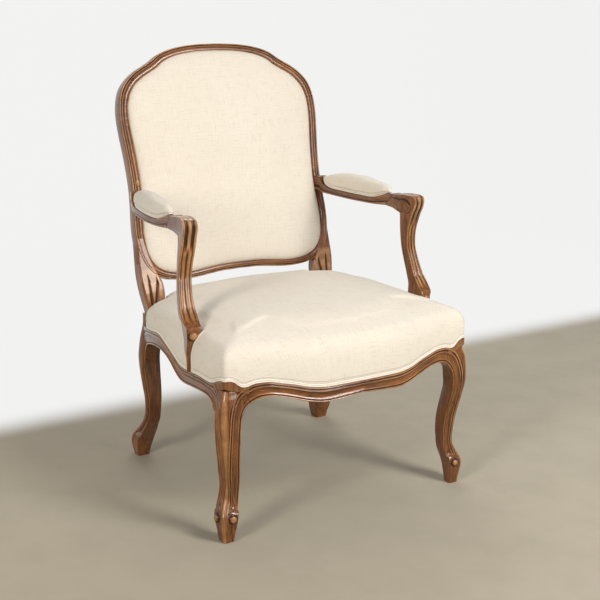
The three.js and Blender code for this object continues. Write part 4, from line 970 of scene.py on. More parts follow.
def closed_loop(rows):
    """Rows start with x and y. The inward direction is added at the end of each."""
    lengths, full = [0], []
    for k, row in enumerate(rows):
        after = rows[(k + 1) % len(rows)]
        along = heading(rows[k - 1], after)
        full.append(list(row) + [-along.y, along.x])
        lengths.append(lengths[-1] + math.dist(row[:2], after[:2]))
    return {"rows": full, "lengths": lengths, "total": lengths[-1]}


def loop_from_right(rows, level, weight):
    """The loop starts at its rightmost row near a level."""
    first = max(range(len(rows)), key=lambda k: rows[k][0] - abs(rows[k][1] - level) * weight)
    return closed_loop(rows[first:] + rows[:first])


def mirrored(half):
    return half + [(-row[0], *row[1:]) for row in half[1:-1]][::-1]


def loop_at(loop, share):
    """A place on a closed line of points, by its share of the whole length."""
    place_on = (share % 1) * loop["total"]
    lengths = loop["lengths"]
    low, high = 0, len(lengths) - 1
    while high - low > 1:
        middle = (low + high) // 2
        low, high = (middle, high) if lengths[middle] <= place_on else (low, middle)
    t = (place_on - lengths[low]) / max(lengths[high] - lengths[low], 1e-6)
    rows = loop["rows"]
    return [lerp(a, b, t) for a, b in zip(rows[low], rows[(low + 1) % len(rows)])]


def profile_of(rows, wide):
    """Adds the length from the border to rows of [share, level], where a level is in mm."""
    fine = curve(rows, 60)
    made, length = [], 0
    for k, (share, level) in enumerate(fine):
        if k:
            length += math.hypot((share - fine[k - 1][0]) * wide, level - fine[k - 1][1])
        made.append([length + k * 1e-4, share, level])
    return made


# %% [markdown]
# A fan of triangles from the middle would leave a pole there and show in the weave. A square grid
# bent to the outline has none. Each point keeps its place in the flat cloth, in millimetres, so
# that the threads run straight, and its distance from the border, for the stitched line there.

# %%
WEAVE_EASE = 1.12
BORDER_SHADE = -.7


def grid_turn(s, t):
    """The direction of a point of a square grid, as an angle whose steps are even on its border."""
    if s == t == 0:
        return 0
    if abs(s) >= abs(t):
        return math.pi / 4 * t / s + (math.pi if s < 0 else 0)
    return math.pi / 2 - math.pi / 4 * s / t + (math.pi if t < 0 else 0)


def skin(name, loop, middle, profile, form, count):
    """A skin over a loop. The profile runs from the border to the middle as rows of [length from
    the border, share of the outline, level]; form gives a place from a row of the loop."""
    span = profile[-1][0]
    points, weave, edge, tones = [], [], [], []
    ways = [2 * k / count - 1 for k in range(count + 1)]
    for s in ways:
        for t in ways:
            row = loop_at(loop, grid_turn(s, t) / (2 * math.pi))
            length = span * (1 - max(abs(s), abs(t)))
            _, share, level = row_at(profile, length)
            points.append(form(row, share, level))
            grow = 1 - length / span
            weave.append([m + (a - m) * grow * WEAVE_EASE for m, a in zip(middle, row)] + [0])
            edge.append(length)
            # Painted shade: the cover darkens over its last couple of millimetres, by the welt.
            tones.append(BORDER_SHADE * (1 - smooth(length, .3, 2.2)))
    corners = [i * (count + 1) + j for i in range(count) for j in range(count)]
    faces = [(a, a + count + 1, a + count + 2, a + 1) for a in corners]
    piece = finish_mesh(name, points, faces, tones, 180)
    if len(piece.data.vertices) != len(points):
        raise ValueError(f"{name}: {len(points) - len(piece.data.vertices)} points of the skin fell together")
    note(piece, "weave", weave, "FLOAT_VECTOR")
    note(piece, "edge", edge)
    return piece


# %% [markdown]
# Stuffing pushes the cover out between its tacked edges. Blender's cloth under a little pressure,
# with the border held, gives that fullness. The pressure is light and the movement is capped, and
# the result is kept in the mesh. The cover then gets its thickness.

# %%
CLOTH = {"use_pressure": True, "quality": 5, "mass": .3, "tension_stiffness": 12,
         "compression_stiffness": 12, "bending_stiffness": 3, "vertex_group_mass": "held"}
LAST_FRAME = 16


def swell(piece, pressure, cap, held):
    """A point only moves outwards, so the cloth never sinks into the stuffing."""
    start = [(v.co.copy(), v.normal.copy()) for v in piece.data.vertices]
    edge = [d.value for d in piece.data.attributes["edge"].data]
    group = piece.vertex_groups.new(name="held")
    for k, length in enumerate(edge):
        group.add([k], 1 - smooth(length, held, held * 2.5), "REPLACE")
    cloth = piece.modifiers.new("Cloth", "CLOTH")
    for key, value in CLOTH.items():
        setattr(cloth.settings, key, value)
    cloth.settings.uniform_pressure_force = pressure
    cloth.settings.effector_weights.gravity = 0
    cloth.point_cache.frame_start, cloth.point_cache.frame_end = 1, LAST_FRAME
    scene = bpy.context.scene
    for number in range(1, LAST_FRAME + 1):
        scene.frame_set(number)
    made = piece.evaluated_get(bpy.context.evaluated_depsgraph_get()).data
    moved = [v.co.copy() for v in made.vertices]
    piece.modifiers.remove(cloth)
    scene.frame_set(1)
    lifts = [min(max((b - a).dot(normal), 0), cap * MM) for (a, normal), b in zip(start, moved)]
    for vertex, (a, normal), lift in zip(piece.data.vertices, start, lifts):
        vertex.co = a + normal * lift
    piece.data.update()
    print(piece.name, "swelled by up to", round(max(lifts) / MM, 1), "mm, mean",
          round(sum(lifts) / len(lifts) / MM, 1))


def apply(piece, kind, **values):
    only(piece)
    bpy.ops.object.modifier_add(type=kind)
    modifier = piece.modifiers[-1]
    for key, value in values.items():
        setattr(modifier, key, value)
    bpy.ops.object.modifier_apply(modifier=modifier.name)


def upholster(piece, pressure, cap, held):
    swell(piece, pressure, cap, held)
    apply(piece, "SUBSURF", levels=1, render_levels=1)
    apply(piece, "SOLIDIFY", thickness=2 * MM, offset=-1)


# %% [markdown]
# The seat's outline follows the rails, then turns in before each rear upright. Its border lies on
# the moulding's upper edge, so it rises and falls with the carved rail.

# %%
SEAT_CROWN, SEAT_ROLL, SEAT_CORNER_DROP = 440, 406, 20
SEAT_END, NOTCH_X, NOTCH_Y, SEAT_REAR = 158, 200, 192, 216
SEAT_TURN = [(0, 0, .8), (.06, .25, .8), (.19, .45, 1), (.38, .68, 1), (.68, .9, .8), (1, 1, .3)]
SEAT_LEVELS = [(1, 0), (1.003, .4), (.99, .75), (.955, .96), (.88, 1.24), (.75, 1.56), (.5, 1.87), (0, 2)]
SEAT_MIDDLE, SEAT_SPAN, SEAT_LIFT = (0, -51.2), 270, 70
INSET = 1.9


def seat_rows():
    half = [(*s[0], s[3], 0) for s in (front_station(x) for x in spread(0, CORNER_X - CORNER_RADIUS, 50))]
    half += [(*s[0], s[3], 0) for s in (corner_station(1, t) for t in spread(.1, .9, 7))]
    for y in spread(-CORNER_Y + CORNER_RADIUS, SEAT_END, 70):
        s = side_station(1, y)
        half.append((*s[0], s[3], .8 * smooth(y, 0, SEAT_END)))
    edge_x, edge_mould = half[-1][0], half[-1][2]
    for t in spread(.04, 1, 26):
        across, back, drop = curve_at(SEAT_TURN, t)
        half.append((lerp(edge_x, NOTCH_X, across), lerp(SEAT_END, NOTCH_Y, back),
                     lerp(edge_mould, FRAME_TOP, smooth(t, 0, .5)), drop))
    half += [(NOTCH_X - 1.5 * t, lerp(NOTCH_Y, SEAT_REAR, t), FRAME_TOP, .2) for t in (.35, .7, 1)]
    half += [(NOTCH_X * a, SEAT_REAR, FRAME_TOP, lerp(.2, -.5, smooth(1 - a, 0, 1)))
             for a in spread(.96, 0, 24)]
    return mirrored(half)


SEAT_ROWS = seat_rows()


def seat_form(row, share, level):
    x, y, mould, drop, in_x, in_y = row
    x, y = x + in_x * INSET, y + in_y * INSET
    x = SEAT_MIDDLE[0] + (x - SEAT_MIDDLE[0]) * share
    y = SEAT_MIDDLE[1] + (y - SEAT_MIDDLE[1]) * share
    level = level / SEAT_LIFT
    roll = SEAT_ROLL - drop * SEAT_CORNER_DROP * share ** 6
    z = lerp(mould + 3 * CORD, roll, level) if level <= 1 else roll + (SEAT_CROWN - SEAT_ROLL) * (level - 1)
    return (x, y, z)


seat = skin("padded_seat", loop_from_right(SEAT_ROWS, level=-51, weight=.2), SEAT_MIDDLE,
            profile_of([(s, up * SEAT_LIFT) for s, up in SEAT_LEVELS], SEAT_SPAN), seat_form, 96)
upholster(seat, pressure=9, cap=4, held=14)
print("seat:", len(seat.data.polygons))

# %% [markdown]
# The cover is cut where an arm support comes up through it. The cutter is the support's own form,
# grown by the room that the turned-in edge needs.

# %%
CUT_ROOM = 1


def support_cutter(side, room):
    rings = []
    for row in curve(SUPPORT_SHARES[:9], 30):
        front, rear, half, lap = support_section(row, room)
        rings.append([arm_point(side, lerp(rear[0], front[0], a), shift + lap, lerp(rear[1], front[1], a))
                      for a, shift in ((1, 3 - half), (1, half - 3), (.9, half), (.1, half), (0, half - 3),
                                       (0, 3 - half), (.1, -half), (.9, -half))])
    return sweep("cutter", rings)


for side, _ in SIDES:
    cutter = support_cutter(side, CUT_ROOM)
    apply(seat, "BOOLEAN", operation="DIFFERENCE", object=cutter, solver="EXACT")
    only(cutter)
    bpy.ops.object.delete()
only(seat)
bpy.ops.object.shade_smooth_by_angle(angle=math.radians(50))
print("seat after its cuts:", len(seat.data.polygons))

# %% [markdown]
# The back's cover is the same idea on the leaning frame, and the outer back is one flat sheet
# that bellies out slightly behind.

# %%
BACK_LEVELS = [(1, 0), (.985, .22), (.955, .42), (.9, .6), (.8, .78), (.6, .93), (.35, .99), (0, 1)]
BACK_CROWN, BACK_INSET, BACK_BORDER, BACK_PROUD = 26, 7.4, 4.6, 1.06
OUTER_LAP, OUTER_DEPTH = 3, 30.3
BACK_LOOP = loop_from_right([opening_at(s)[:2] for s in spread(0, 2, 400)[:-1]], level=244, weight=.5)
BACK_MIDDLE = (0, OPENING_HIGH / 2)


def back_place(row, share, inset, depth):
    u, v, in_u, in_v = row
    u, v = u + in_u * inset, v + in_v * inset
    return on_back(u * share, BACK_MIDDLE[1] + (v - BACK_MIDDLE[1]) * share, depth)


back_profile = profile_of([(s, up * BACK_CROWN) for s, up in BACK_LEVELS], 225)
back = skin("padded_back", BACK_LOOP, BACK_MIDDLE, back_profile,
            lambda row, share, level: back_place(row, share, BACK_INSET, BACK_BORDER - level * BACK_PROUD), 96)
upholster(back, pressure=4, cap=4, held=10)
outer_profile = profile_of([(1, 0), (.97, .8), (.9, 1.9), (.7, 3.6), (.4, 4.8), (0, 5.4)], 235)
outer = skin("outer_back_cloth", BACK_LOOP, BACK_MIDDLE, outer_profile,
             lambda row, share, level: back_place(row, share, -OUTER_LAP, OUTER_DEPTH + level), 70)
print("back:", len(back.data.polygons), "outer back:", len(outer.data.polygons))

# %% [markdown]
# The arm pads are crowned along and across, and drawn in at the foot. They could be a skin as the
# seat is, but they are long and thin, so they are swept, and their ends close in a quarter round.

# %%
PAD_START, PAD_END, PAD_CROWN, PAD_FOOT = .085, .955, 43, 5
PAD_SECTION = [(1.0, .16), (.975, .4), (.84, .68), (.53, .91)]  # part of the half width, and of the height


def note_weave(piece, weave):
    """Places in the flat cloth, for a sweep none of whose points fell together."""
    count = len(piece.data.vertices)
    note(piece, "weave", weave if count == len(weave) else [(0, 0, 0)] * count, "FLOAT_VECTOR")


def pad_row(way):
    x, y, top, _, half, _ = arm_row(way)
    end = abs(2 * (way - PAD_START) / (PAD_END - PAD_START) - 1)
    narrow, low = max(1 - end ** 3.4, 0) ** .5, max(1 - end ** 2.6, 0) ** .6
    return x, y, top, (half - 2 - PAD_FOOT) * max(narrow, .02), (PAD_CROWN - PAD_FOOT) * low


def pad_ways(count):
    """Ways along the pad, closer together at its rounded ends."""
    return [lerp(PAD_START, PAD_END, .5 - .5 * math.cos(math.pi * t)) for t in spread(.006, .994, count)]


def arm_pad(side, word):
    rings, weave = [], []
    for way in pad_ways(110):
        x, y, top, half, tall = pad_row(way)
        out = half + min(6, half)
        rise = min(PAD_FOOT, tall + .6)
        line = [(half, 0), (half, rise)] + [(out * wide, rise + up * tall) for wide, up in PAD_SECTION]
        line = curve(line + [(0, rise + tall)], 22)
        line = line + [(-shift, z) for shift, z in line[:-1]][::-1]
        rings.append([(side * (x + shift), y, top + .4 + z) for shift, z in line])
        lengths = [0]
        for k in range(1, len(line)):
            lengths.append(lengths[-1] + math.dist(line[k - 1], line[k]))
        weave += [(length - lengths[-1] / 2, y, 0) for length in lengths]
    pad = sweep(f"padded_{word}_arm", rings, angle=60)
    note_weave(pad, weave)
    return pad


pads = both(arm_pad)
print("arm pads:", [len(pad.data.polygons) for pad in pads.values()])

# %% [markdown]
# Every edge of the cloth is covered by a double welt, two thin cords side by side in one strip
# of the same cloth, glued over the tacks. It is swept with a section of two lobes. Its tone gives
# painted shade along both its edges and between the lobes, and a painted highlight on the lobes.

# %%
LOBES = [(-.96, a) for a in spread(0, 1, 11)] + [(.96, a) for a in spread(0, 1, 11)]


def welt(name, line, closed, cord=CORD, dark=1):
    """Rows are a place, the way off the wood, and the way across the strip."""
    rings, weave, length, tones = [], [], 0, []
    # Tones: a painted highlight on the lobes, painted shade towards their edges; dark scales the painted shade.
    for middle, a in LOBES:
        inner = a if middle < 0 else 1 - a
        tones.append(.6 - (1.5 * smooth(inner, .8, 1) + 1.3 * smooth(1 - inner, .88, 1)) * dark)
    for k, (p, off, across) in enumerate(line):
        ring = []
        for middle, a in LOBES:
            turn = math.pi * (lerp(1.32, -.12, a) if middle < 0 else lerp(1.12, -.32, a))
            ring.append(tuple(p + across * cord * (middle + math.cos(turn)) + off * cord * math.sin(turn)))
        rings.append(ring)
        if k:
            length += (p - line[k - 1][0]).length
        weave += [(j * .9, length, 0) for j in range(len(ring))]
    piece = sweep(name, rings, tones, closed=closed, angle=70)
    note_weave(piece, weave)
    return piece


# %% [markdown]
# The seat's welt follows the moulding's upper edge in four runs: the front with both corners, the
# two sides, and the rear. A thinner one goes up both edges of the cuts round the arm supports.

# %%
UP = Vector((0, 0, 1))
TONGUE_Y = -109
CUT_CORD = 1.2
FAR_OUT = 90


def seat_welt(name, rows):
    line = []
    for x, y, mould, _, in_x, in_y in rows:
        p = Vector((x + in_x * 2.1, y + in_y * 2.1, mould + 2 * CORD + .2))
        line.append((p, Vector((-in_x, -in_y, 0)), UP))
    return welt(name, line, False)


right = [row for row in closed_loop(SEAT_ROWS)["rows"] if row[0] >= 0 and row[1] < NOTCH_Y - 2]
left = [[-x, y, mould, drop, -in_x, in_y] for x, y, mould, drop, in_x, in_y in right]
front_welt = seat_welt("seat_front_welt", [row for row in left[::-1] + right[1:] if row[1] < TONGUE_Y])


def cut_welt(side, word, end):
    """The cord up one edge of the cover's cut: in front of the support (1) or behind it (-1).
    The seat is met by looking across it, from outside, just beside the support."""
    spots = []
    for row in curve(SUPPORT_SHARES[:9], 60):
        front, rear, half, lap = support_section(row)
        reach, z = front if end > 0 else rear
        reach += end * (2 * CUT_CORD + .4)
        start = Vector(place(arm_point(side, reach, FAR_OUT, z)))
        way = (Vector(place(arm_point(side, reach, 0, z))) - start).normalized()
        found, spot, normal, _ = seat.ray_cast(start, way)
        shift = FAR_OUT - (spot - start).length / MM
        if found and lap - half - 3 < shift:
            spots.append((Vector(arm_point(side, reach, shift, z)), normal.copy()))
    line = []
    for k, (p, normal) in enumerate(spots):
        along = spots[min(k + 1, len(spots) - 1)][0] - spots[max(k - 1, 0)][0]
        line.append((p + normal * .3, normal, along.cross(normal).normalized()))
    return welt(f"{word}_cut_welt", line, False, CUT_CORD, .6)


def side_welt(side, word):
    name = f"{word}_seat_side_welt"
    run = seat_welt(name, [row for row in (left if side < 0 else right) if row[1] >= TONGUE_Y])
    return joined(name, [run, cut_welt(side, word, 1), cut_welt(side, word, -1)])


side_welts = both(side_welt)
rear_line = [(Vector((x, SEAT_REAR - 2.2, FRAME_TOP + 2 * CORD + .2)), Vector((0, 1, 0)), UP)
             for x in spread(-NOTCH_X + 2, NOTCH_X - 2, 60)]
rear_welt = welt("seat_rear_welt", rear_line, False)
print("seat welts:", [len(piece.data.polygons) for piece in (front_welt, *side_welts.values(), rear_welt)])


# %% [markdown]
# The back has one welt inside its frame in front and one over the edge of the outer cloth behind.
# Each arm pad has one round its foot.

# %%
def back_welt(name, out, depth, face, cord, dark=1):
    line = []
    zero = Vector(on_back(0, 0, 0))
    for s in spread(0, 2, 300)[:-1]:
        u, v, _, out_u, out_v = opening_at(s)
        p = Vector(on_back(u + out_u * out, v + out_v * out, depth))
        line.append((p, Vector(on_back(0, 0, face)) - zero, Vector(on_back(out_u, out_v, 0)) - zero))
    return welt(name, line, True, cord, dark)


back_cord = back_welt("back_welt", out=-3.7, depth=-.9, face=-1, cord=1.95, dark=.6)
outer_cord = back_welt("outer_back_welt", out=4.6, depth=30.5, face=1, cord=CORD)


def pad_welt(side, word):
    rows = [pad_row(way) for way in pad_ways(90)]
    outline = [(row, 1) for row in rows] + [(row, -1) for row in rows[::-1]]
    spots = [Vector((side * (x + turn * (half + 2.2)), y, top)) for (x, y, top, half, _), turn in outline]
    line = []
    for k, p in enumerate(spots):
        along = heading(spots[k - 1], spots[(k + 1) % len(spots)])
        off = Vector((-along.y, along.x, 0))
        middle = Vector((side * outline[k][0][0], outline[k][0][1], p.z))
        if off.dot(p - middle) < 0:
            off = -off
        line.append((p + UP * (2 * CORD + .3), off, UP))
    return welt(f"{word}_arm_welt", line, True, dark=.6)


arm_welts = both(pad_welt)
print("other welts:", [len(piece.data.polygons) for piece in (back_cord, outer_cord, *arm_welts.values())])

# %% [markdown]
# Below, a dark cambric dust cover is tacked inside the rails and sags slightly. It is the same
# kind of skin as the covers, laid nearly flat.

# %%
DUST_MIDDLE, DUST_LEVEL = (0, -40), 322.8


def dust_rows():
    half = [at_depth(front_station(x), RAIL_DEPTH + .5, 0)[:2] for x in spread(0, 262, 40)]
    half += [at_depth(side_station(1, y), RAIL_DEPTH + .5, 0)[:2] for y in spread(-246, 196, 50)]
    half += [(x, 197) for x in spread(228, 0, 24)]
    return mirrored(half)


def dust_form(row, share, level):
    return row[0] * share, DUST_MIDDLE[1] + (row[1] - DUST_MIDDLE[1]) * share, DUST_LEVEL - level


dust = skin("dust_cover", loop_from_right(dust_rows(), level=DUST_MIDDLE[1], weight=.3), DUST_MIDDLE,
            profile_of([(1, 0), (.97, 1.2), (.8, 2.6), (.4, 3.8), (0, 4.2)], 235), dust_form, 60)
print("dust cover:", len(dust.data.polygons))

# %% [markdown]
# ## Materials
# Shader sums are written as plain arithmetic on sockets: a socket is wrapped, and each operator
# adds its Math node.

# %%
def fill_slot(tree, slot, value):
    """A wrapped socket is linked, and anything else becomes the slot's own value."""
    if isinstance(value, Sum):
        tree.links.new(value.socket, slot)
    else:
        slot.default_value = value


class Sum:
    def __init__(self, tree, socket):
        self.tree, self.socket = tree, socket

    def node(self, kind, *numbers):
        made = self.tree.nodes.new("ShaderNodeMath")
        made.operation = kind
        for slot, value in zip(made.inputs, numbers):
            fill_slot(self.tree, slot, value)
        return Sum(self.tree, made.outputs[0])

    def __add__(self, other):
        return self.node("ADD", self, other)

    def __sub__(self, other):
        return self.node("SUBTRACT", self, other)

    def __rsub__(self, other):
        return self.node("SUBTRACT", other, self)

    def __mul__(self, other):
        return self.node("MULTIPLY", self, other)

    __radd__, __rmul__ = __add__, __mul__

    def __pow__(self, other):
        return self.node("POWER", self, other)

    def sine(self):
        return self.node("SINE", self)

    def absolute(self):
        return self.node("ABSOLUTE", self)

    def step(self, low, high):
        """0 below the low value, 1 above the high one, and a smooth rise between."""
        made = self.tree.nodes.new("ShaderNodeMapRange")
        made.interpolation_type = "SMOOTHSTEP"
        for name, value in (("Value", self), ("From Min", low), ("From Max", high)):
            fill_slot(self.tree, made.inputs[name], value)
        return Sum(self.tree, made.outputs["Result"])


# %% [markdown]
# A finish holds the material and its shader. One method makes every kind of node that isn't
# arithmetic. What is the same all over the surface is set on the shader itself.

# %%
class Paint:
    def __init__(self, name, roughness, **uniform):
        self.material = bpy.data.materials.new(name)
        self.material.use_nodes = True
        self.tree = self.material.node_tree
        self.shader = self.tree.nodes["Principled BSDF"]
        self.shader.inputs["Roughness"].default_value = roughness
        for key, value in uniform.items():
            self.shader.inputs[key.replace("_", " ")].default_value = value

    def node(self, kind, out=0, settings=None, **inputs):
        made = self.tree.nodes.new("ShaderNode" + kind)
        for key, value in (settings or {}).items():
            setattr(made, key, value)
        for key, value in inputs.items():
            fill_slot(self.tree, made.inputs[key.replace("_", " ")], value)
        return Sum(self.tree, made.outputs[out])

    def place(self, scale=(1, 1, 1)):
        """Object coordinates, scaled; the objects' origins are all at the chair's origin."""
        raw = self.node("TexCoord", "Object")
        return self.node("Mapping", settings={"vector_type": "POINT"}, Vector=raw, Scale=scale)

    def parts(self, vector):
        """The three numbers of a vector."""
        return [self.node("SeparateXYZ", k, Vector=vector) for k in range(3)]

    def noise(self, where, scale, detail=3, rough=.55, distortion=0):
        return self.node("TexNoise", "Fac", Vector=where, Scale=scale, Detail=detail, Roughness=rough,
                         Distortion=distortion)

    def mix(self, share, a, b):
        made = self.tree.nodes.new("ShaderNodeMix")
        made.data_type = "RGBA"
        for slot, value in ((0, share), (6, a), (7, b)):
            fill_slot(self.tree, made.inputs[slot], (*value, 1) if isinstance(value, tuple) else value)
        return Sum(self.tree, made.outputs[2])

    def value(self, name, kind="Fac"):
        return self.node("Attribute", kind, settings={"attribute_name": name})

    def end(self, colour, roughness, height, strength, depth):
        fill_slot(self.tree, self.shader.inputs["Base Color"], colour)
        if roughness:
            fill_slot(self.tree, self.shader.inputs["Roughness"], roughness)
        bump = self.node("Bump", "Normal", Height=height, Strength=strength, Distance=depth)
        fill_slot(self.tree, self.shader.inputs["Normal"], bump)
        return self.material


# %% [markdown]
# Old polished walnut: dark streaks and short pores along the grain, cloudy stain, grooves nearly
# black with wax and dirt and with painted shade, ridges rubbed to a golden brown and lightened with a
# painted highlight, all under a thin glossy coat. The grain runs along the piece that was sawn, so
# each direction has its own material.

# %%
def along_grain(axis, along, across):
    """Scales that draw a pattern out along the grain."""
    return [along if letter == axis else across for letter in "xyz"]


def walnut(axis):
    p = Paint(f"walnut_{axis}", .3, Coat_Weight=.6, Coat_Roughness=.16, Specular_IOR_Level=.3)
    grain, plain = p.place(along_grain(axis, 1, 14)), p.place()
    cloud = p.noise(plain, 7, 4, .6)
    streak = p.noise(grain, 14, 6, .62, .6)
    fine = p.noise(grain, 60, 5, .7)
    pores = p.noise(p.place(along_grain(axis, 9, 130)), 9, 2, .5).step(.62, .72)
    relief = p.value("relief")
    groove_dirt_and_shade, ridge_wear_and_highlight = (relief * -1).step(0, .8), relief.step(.1, 1)
    worn = p.noise(plain, 22, 4, .65).step(.35, .68)
    colour = p.mix(streak.step(.32, .68), (.060, .0165, .0035), (.255, .083, .0175))
    colour = p.mix(cloud.step(.4, .72) * .5, colour, (.37, .145, .036))
    colour = p.mix(fine.step(.4, .75) * .3, colour, (.045, .013, .004))
    colour = p.mix(pores * .5, colour, (.018, .006, .002))
    # Wax and dirt with painted shade: grooves are darkened nearly to black.
    colour = p.mix(groove_dirt_and_shade * .93, colour, (.0055, .0020, .001))
    # Rubbed wear with a painted highlight: ridges are lightened to golden brown.
    colour = p.mix(ridge_wear_and_highlight * (worn * .55 + .2), colour, (.66, .35, .145))
    rough = .22 + fine * .12 + groove_dirt_and_shade * .25 + worn * .05
    height = fine * .35 + streak * .4 - pores * .7 + p.noise(plain, 45, 3, .6) * .35
    return p.end(colour, rough, height, .35, .00035)


WALNUT = {axis: walnut(axis) for axis in "xyz"}
print("walnut:", [material.name for material in WALNUT.values()])
# %% [markdown]
# Ecru linen: two sets of uneven threads that pass over and under each other, thicker slubs here
# and there, and a row of stitches a few millimetres inside the welt. Painted shade darkens the
# hollows, the cover's border, the welt's edges and the stitched row, and a painted highlight
# lightens the crowns of the welt's lobes.

# %%
def linen(name, thread, stitched):
    p = Paint(name, .92, Sheen_Weight=.25, Sheen_Roughness=.6, Specular_IOR_Level=.25)
    flat = p.value("weave", "Vector")
    wobble = p.noise(flat, .09, 3, .6)
    u, v, _ = p.parts(flat)
    pitch = 2 * math.pi / thread
    a = (u + wobble * .9) * pitch * .5
    b = (v + wobble * -.8) * pitch * .5
    over = (a.sine() * b.sine()).step(-.3, .3)
    warp, weft = 1 - a.sine() ** 2, 1 - b.sine() ** 2
    weave = over * (1 - weft * .75) + (1 - over) * (1 - warp * .75)
    slub_u, slub_v = (p.noise(p.node("Mapping", Vector=flat, Scale=scale), 1, 3).step(.52, .72)
                      for scale in ((.5, .03, 1), (.03, .5, 1)))
    patch = p.noise(p.place(), 5, 4, .6)
    # Painted shade: the hollows by the welt and the cover's border, where the tone is below zero.
    hollow = (p.value("relief") * -1).step(0, 1)
    colour = p.mix(weave * .6 + .4, (.62, .53, .41), (.865, .81, .715))
    colour = p.mix((slub_u + slub_v) * .4, colour, (.60, .50, .385))
    colour = p.mix(patch.step(.3, .75) * .16, colour, (.70, .60, .47))
    colour = p.mix(hollow * .62, colour, (.30, .22, .14))
    # Painted highlight: the welt's lobes, where the tone is above zero, are lightened.
    colour = p.mix(p.value("relief").step(.2, .7) * .5, colour, (.90, .86, .78))
    height = weave * .7 + (slub_u + slub_v) * .5
    if stitched:
        stitches = 1 - (p.value("edge") - 4.6).absolute().step(.2, 1.1)
        # The stitched row is sunk by the bump, and its darker colour is painted shade in that crease.
        colour = p.mix(stitches * .3, colour, (.42, .31, .19))
        height = height - stitches * 2.2
    return p.end(colour, .9 + weave * .06, height, .55, .0004)


LINEN = linen("linen", 1.5, True)
WELT = linen("linen_welt", 1.2, False)
print("cloth:", LINEN.name, WELT.name)


# %% [markdown]
# Inside the chair are beech blocks, steel screws, jute webbing, foam and a black cambric. They are
# seldom seen, so two plain finishes do for all: one with a grain, and one with a coarse weave.

# %%
def grained(name, axis, dark, light, rough, size, bump):
    p = Paint(name, rough)
    grain = p.noise(p.place(along_grain(axis, 1, 12)), size, 5, .6)
    fine = p.noise(p.place(), size * 9, 3, .6)
    colour = p.mix(grain.step(.3, .7), dark, light)
    colour = p.mix(fine.step(.45, .8) * .3, colour, dark)
    return p.end(colour, rough - .05 + fine * .1, grain * .5 + fine * .5, bump, .0003)


def woven(name, dark, light, thread):
    """Coarse cloth on flat hidden pieces: threads by their place across the chair."""
    p = Paint(name, .95)
    x, y, z = p.parts(p.place())
    pitch = math.pi / (thread * MM)
    over = ((x * pitch).sine() * ((y + z) * pitch).sine()).step(-.4, .4)
    colour = p.mix(over, dark, light)
    colour = p.mix(p.noise(p.place(), 60, 4).step(.35, .75) * .4, colour, dark)
    return p.end(colour, .9 + over * .08, over, .5, .0004)


BEECH = grained("beech", "x", (.30, .17, .08), (.52, .34, .18), .62, 20, .3)
JUTE = woven("jute", (.20, .125, .055), (.42, .29, .15), 2.4)
FOAM = grained("foam", "", (.62, .55, .32), (.80, .73, .48), .95, 60, .4)
CAMBRIC = woven("cambric", (.010, .010, .011), (.032, .031, .034), 1.1)
STEEL = grained("steel", "y", (.32, .31, .29), (.55, .54, .51), .38, 50, .15)
STEEL.node_tree.nodes["Principled BSDF"].inputs["Metallic"].default_value = 1
print("materials:", [m.name for m in bpy.data.materials if m.use_nodes][:12])

# %% [markdown]
# Every piece gets its finish, rides on the one body and stands for its solid. Solids that stay,
# inside the chair or plain as they are, get the same finishes.

# %%
WOOD_PIECES = [
    (front_rail, "x", ["front_rail"]), (crest, "x", ["crest_rail"]), (bottom, "x", ["bottom_back_rail"]),
]
for word in ("left", "right"):
    WOOD_PIECES += [
        (side_rails[word], "y", [f"{word}_side_rail"]), (front_legs[word], "z", [f"{word}_front_leg"]),
        (uprights[word], "z", [f"{word}_rear_upright"]), (supports[word], "z", [f"{word}_arm_support"]),
        (armrests[word], "y", [f"{word}_armrest"]),
    ]
SOFT_PIECES = [
    (seat, LINEN, ["seat_cover"]), (back, LINEN, ["back_cover"]), (outer, LINEN, ["outer_back_cover"]),
    (front_welt, WELT, ["seat_front_cord"]), (rear_welt, WELT, ["seat_rear_cord"]),
    (back_cord, WELT, ["back_cord"]), (outer_cord, WELT, ["outer_back_cord"]),
]
for word in ("left", "right"):
    SOFT_PIECES += [
        (side_welts[word], WELT, [f"{word}_seat_side_cord"]), (pads[word], WELT, [f"{word}_arm_pad"]),
        (arm_welts[word], WELT, [f"{word}_arm_cord"]),
    ]


def dress(piece, material, nodes):
    piece.data.materials.clear()
    piece.data.materials.append(material)
    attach(piece, "root")
    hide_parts(*nodes)


for piece, axis, nodes in WOOD_PIECES:
    dress(piece, WALNUT[axis], nodes)
for piece, material, nodes in SOFT_PIECES:
    dress(piece, material, nodes)
dress(dust, CAMBRIC, ["dust_cloth"])

KEPT = {
    "block_screw": STEEL, "support_screw": STEEL, "arm_screw": STEEL, "corner_block": BEECH, "dowel": BEECH,
    "web_": JUTE, "hessian": JUTE, "stuffing": FOAM, "rear_rail": WALNUT["x"],
}
kept = 0
for name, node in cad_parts.items():
    for word, material in KEPT.items():
        if word in name:
            for slot in node.material_slots:
                slot.material = material
            kept += 1
            break
print("solids that stay:", kept)

# %% [markdown]

# %% [markdown]
# ## Floor, light and camera
# A pale floor runs up into a backdrop, in metres here. The backdrop glows only towards the camera
# and a little in reflections, so that it is pale without lighting the chair.

# %%
HALF_WIDTH, FLOOR_START, BEND_START, BEND_RADIUS, TOP = 5, -3.2, 2.1, .9, (3.0, 4.2)


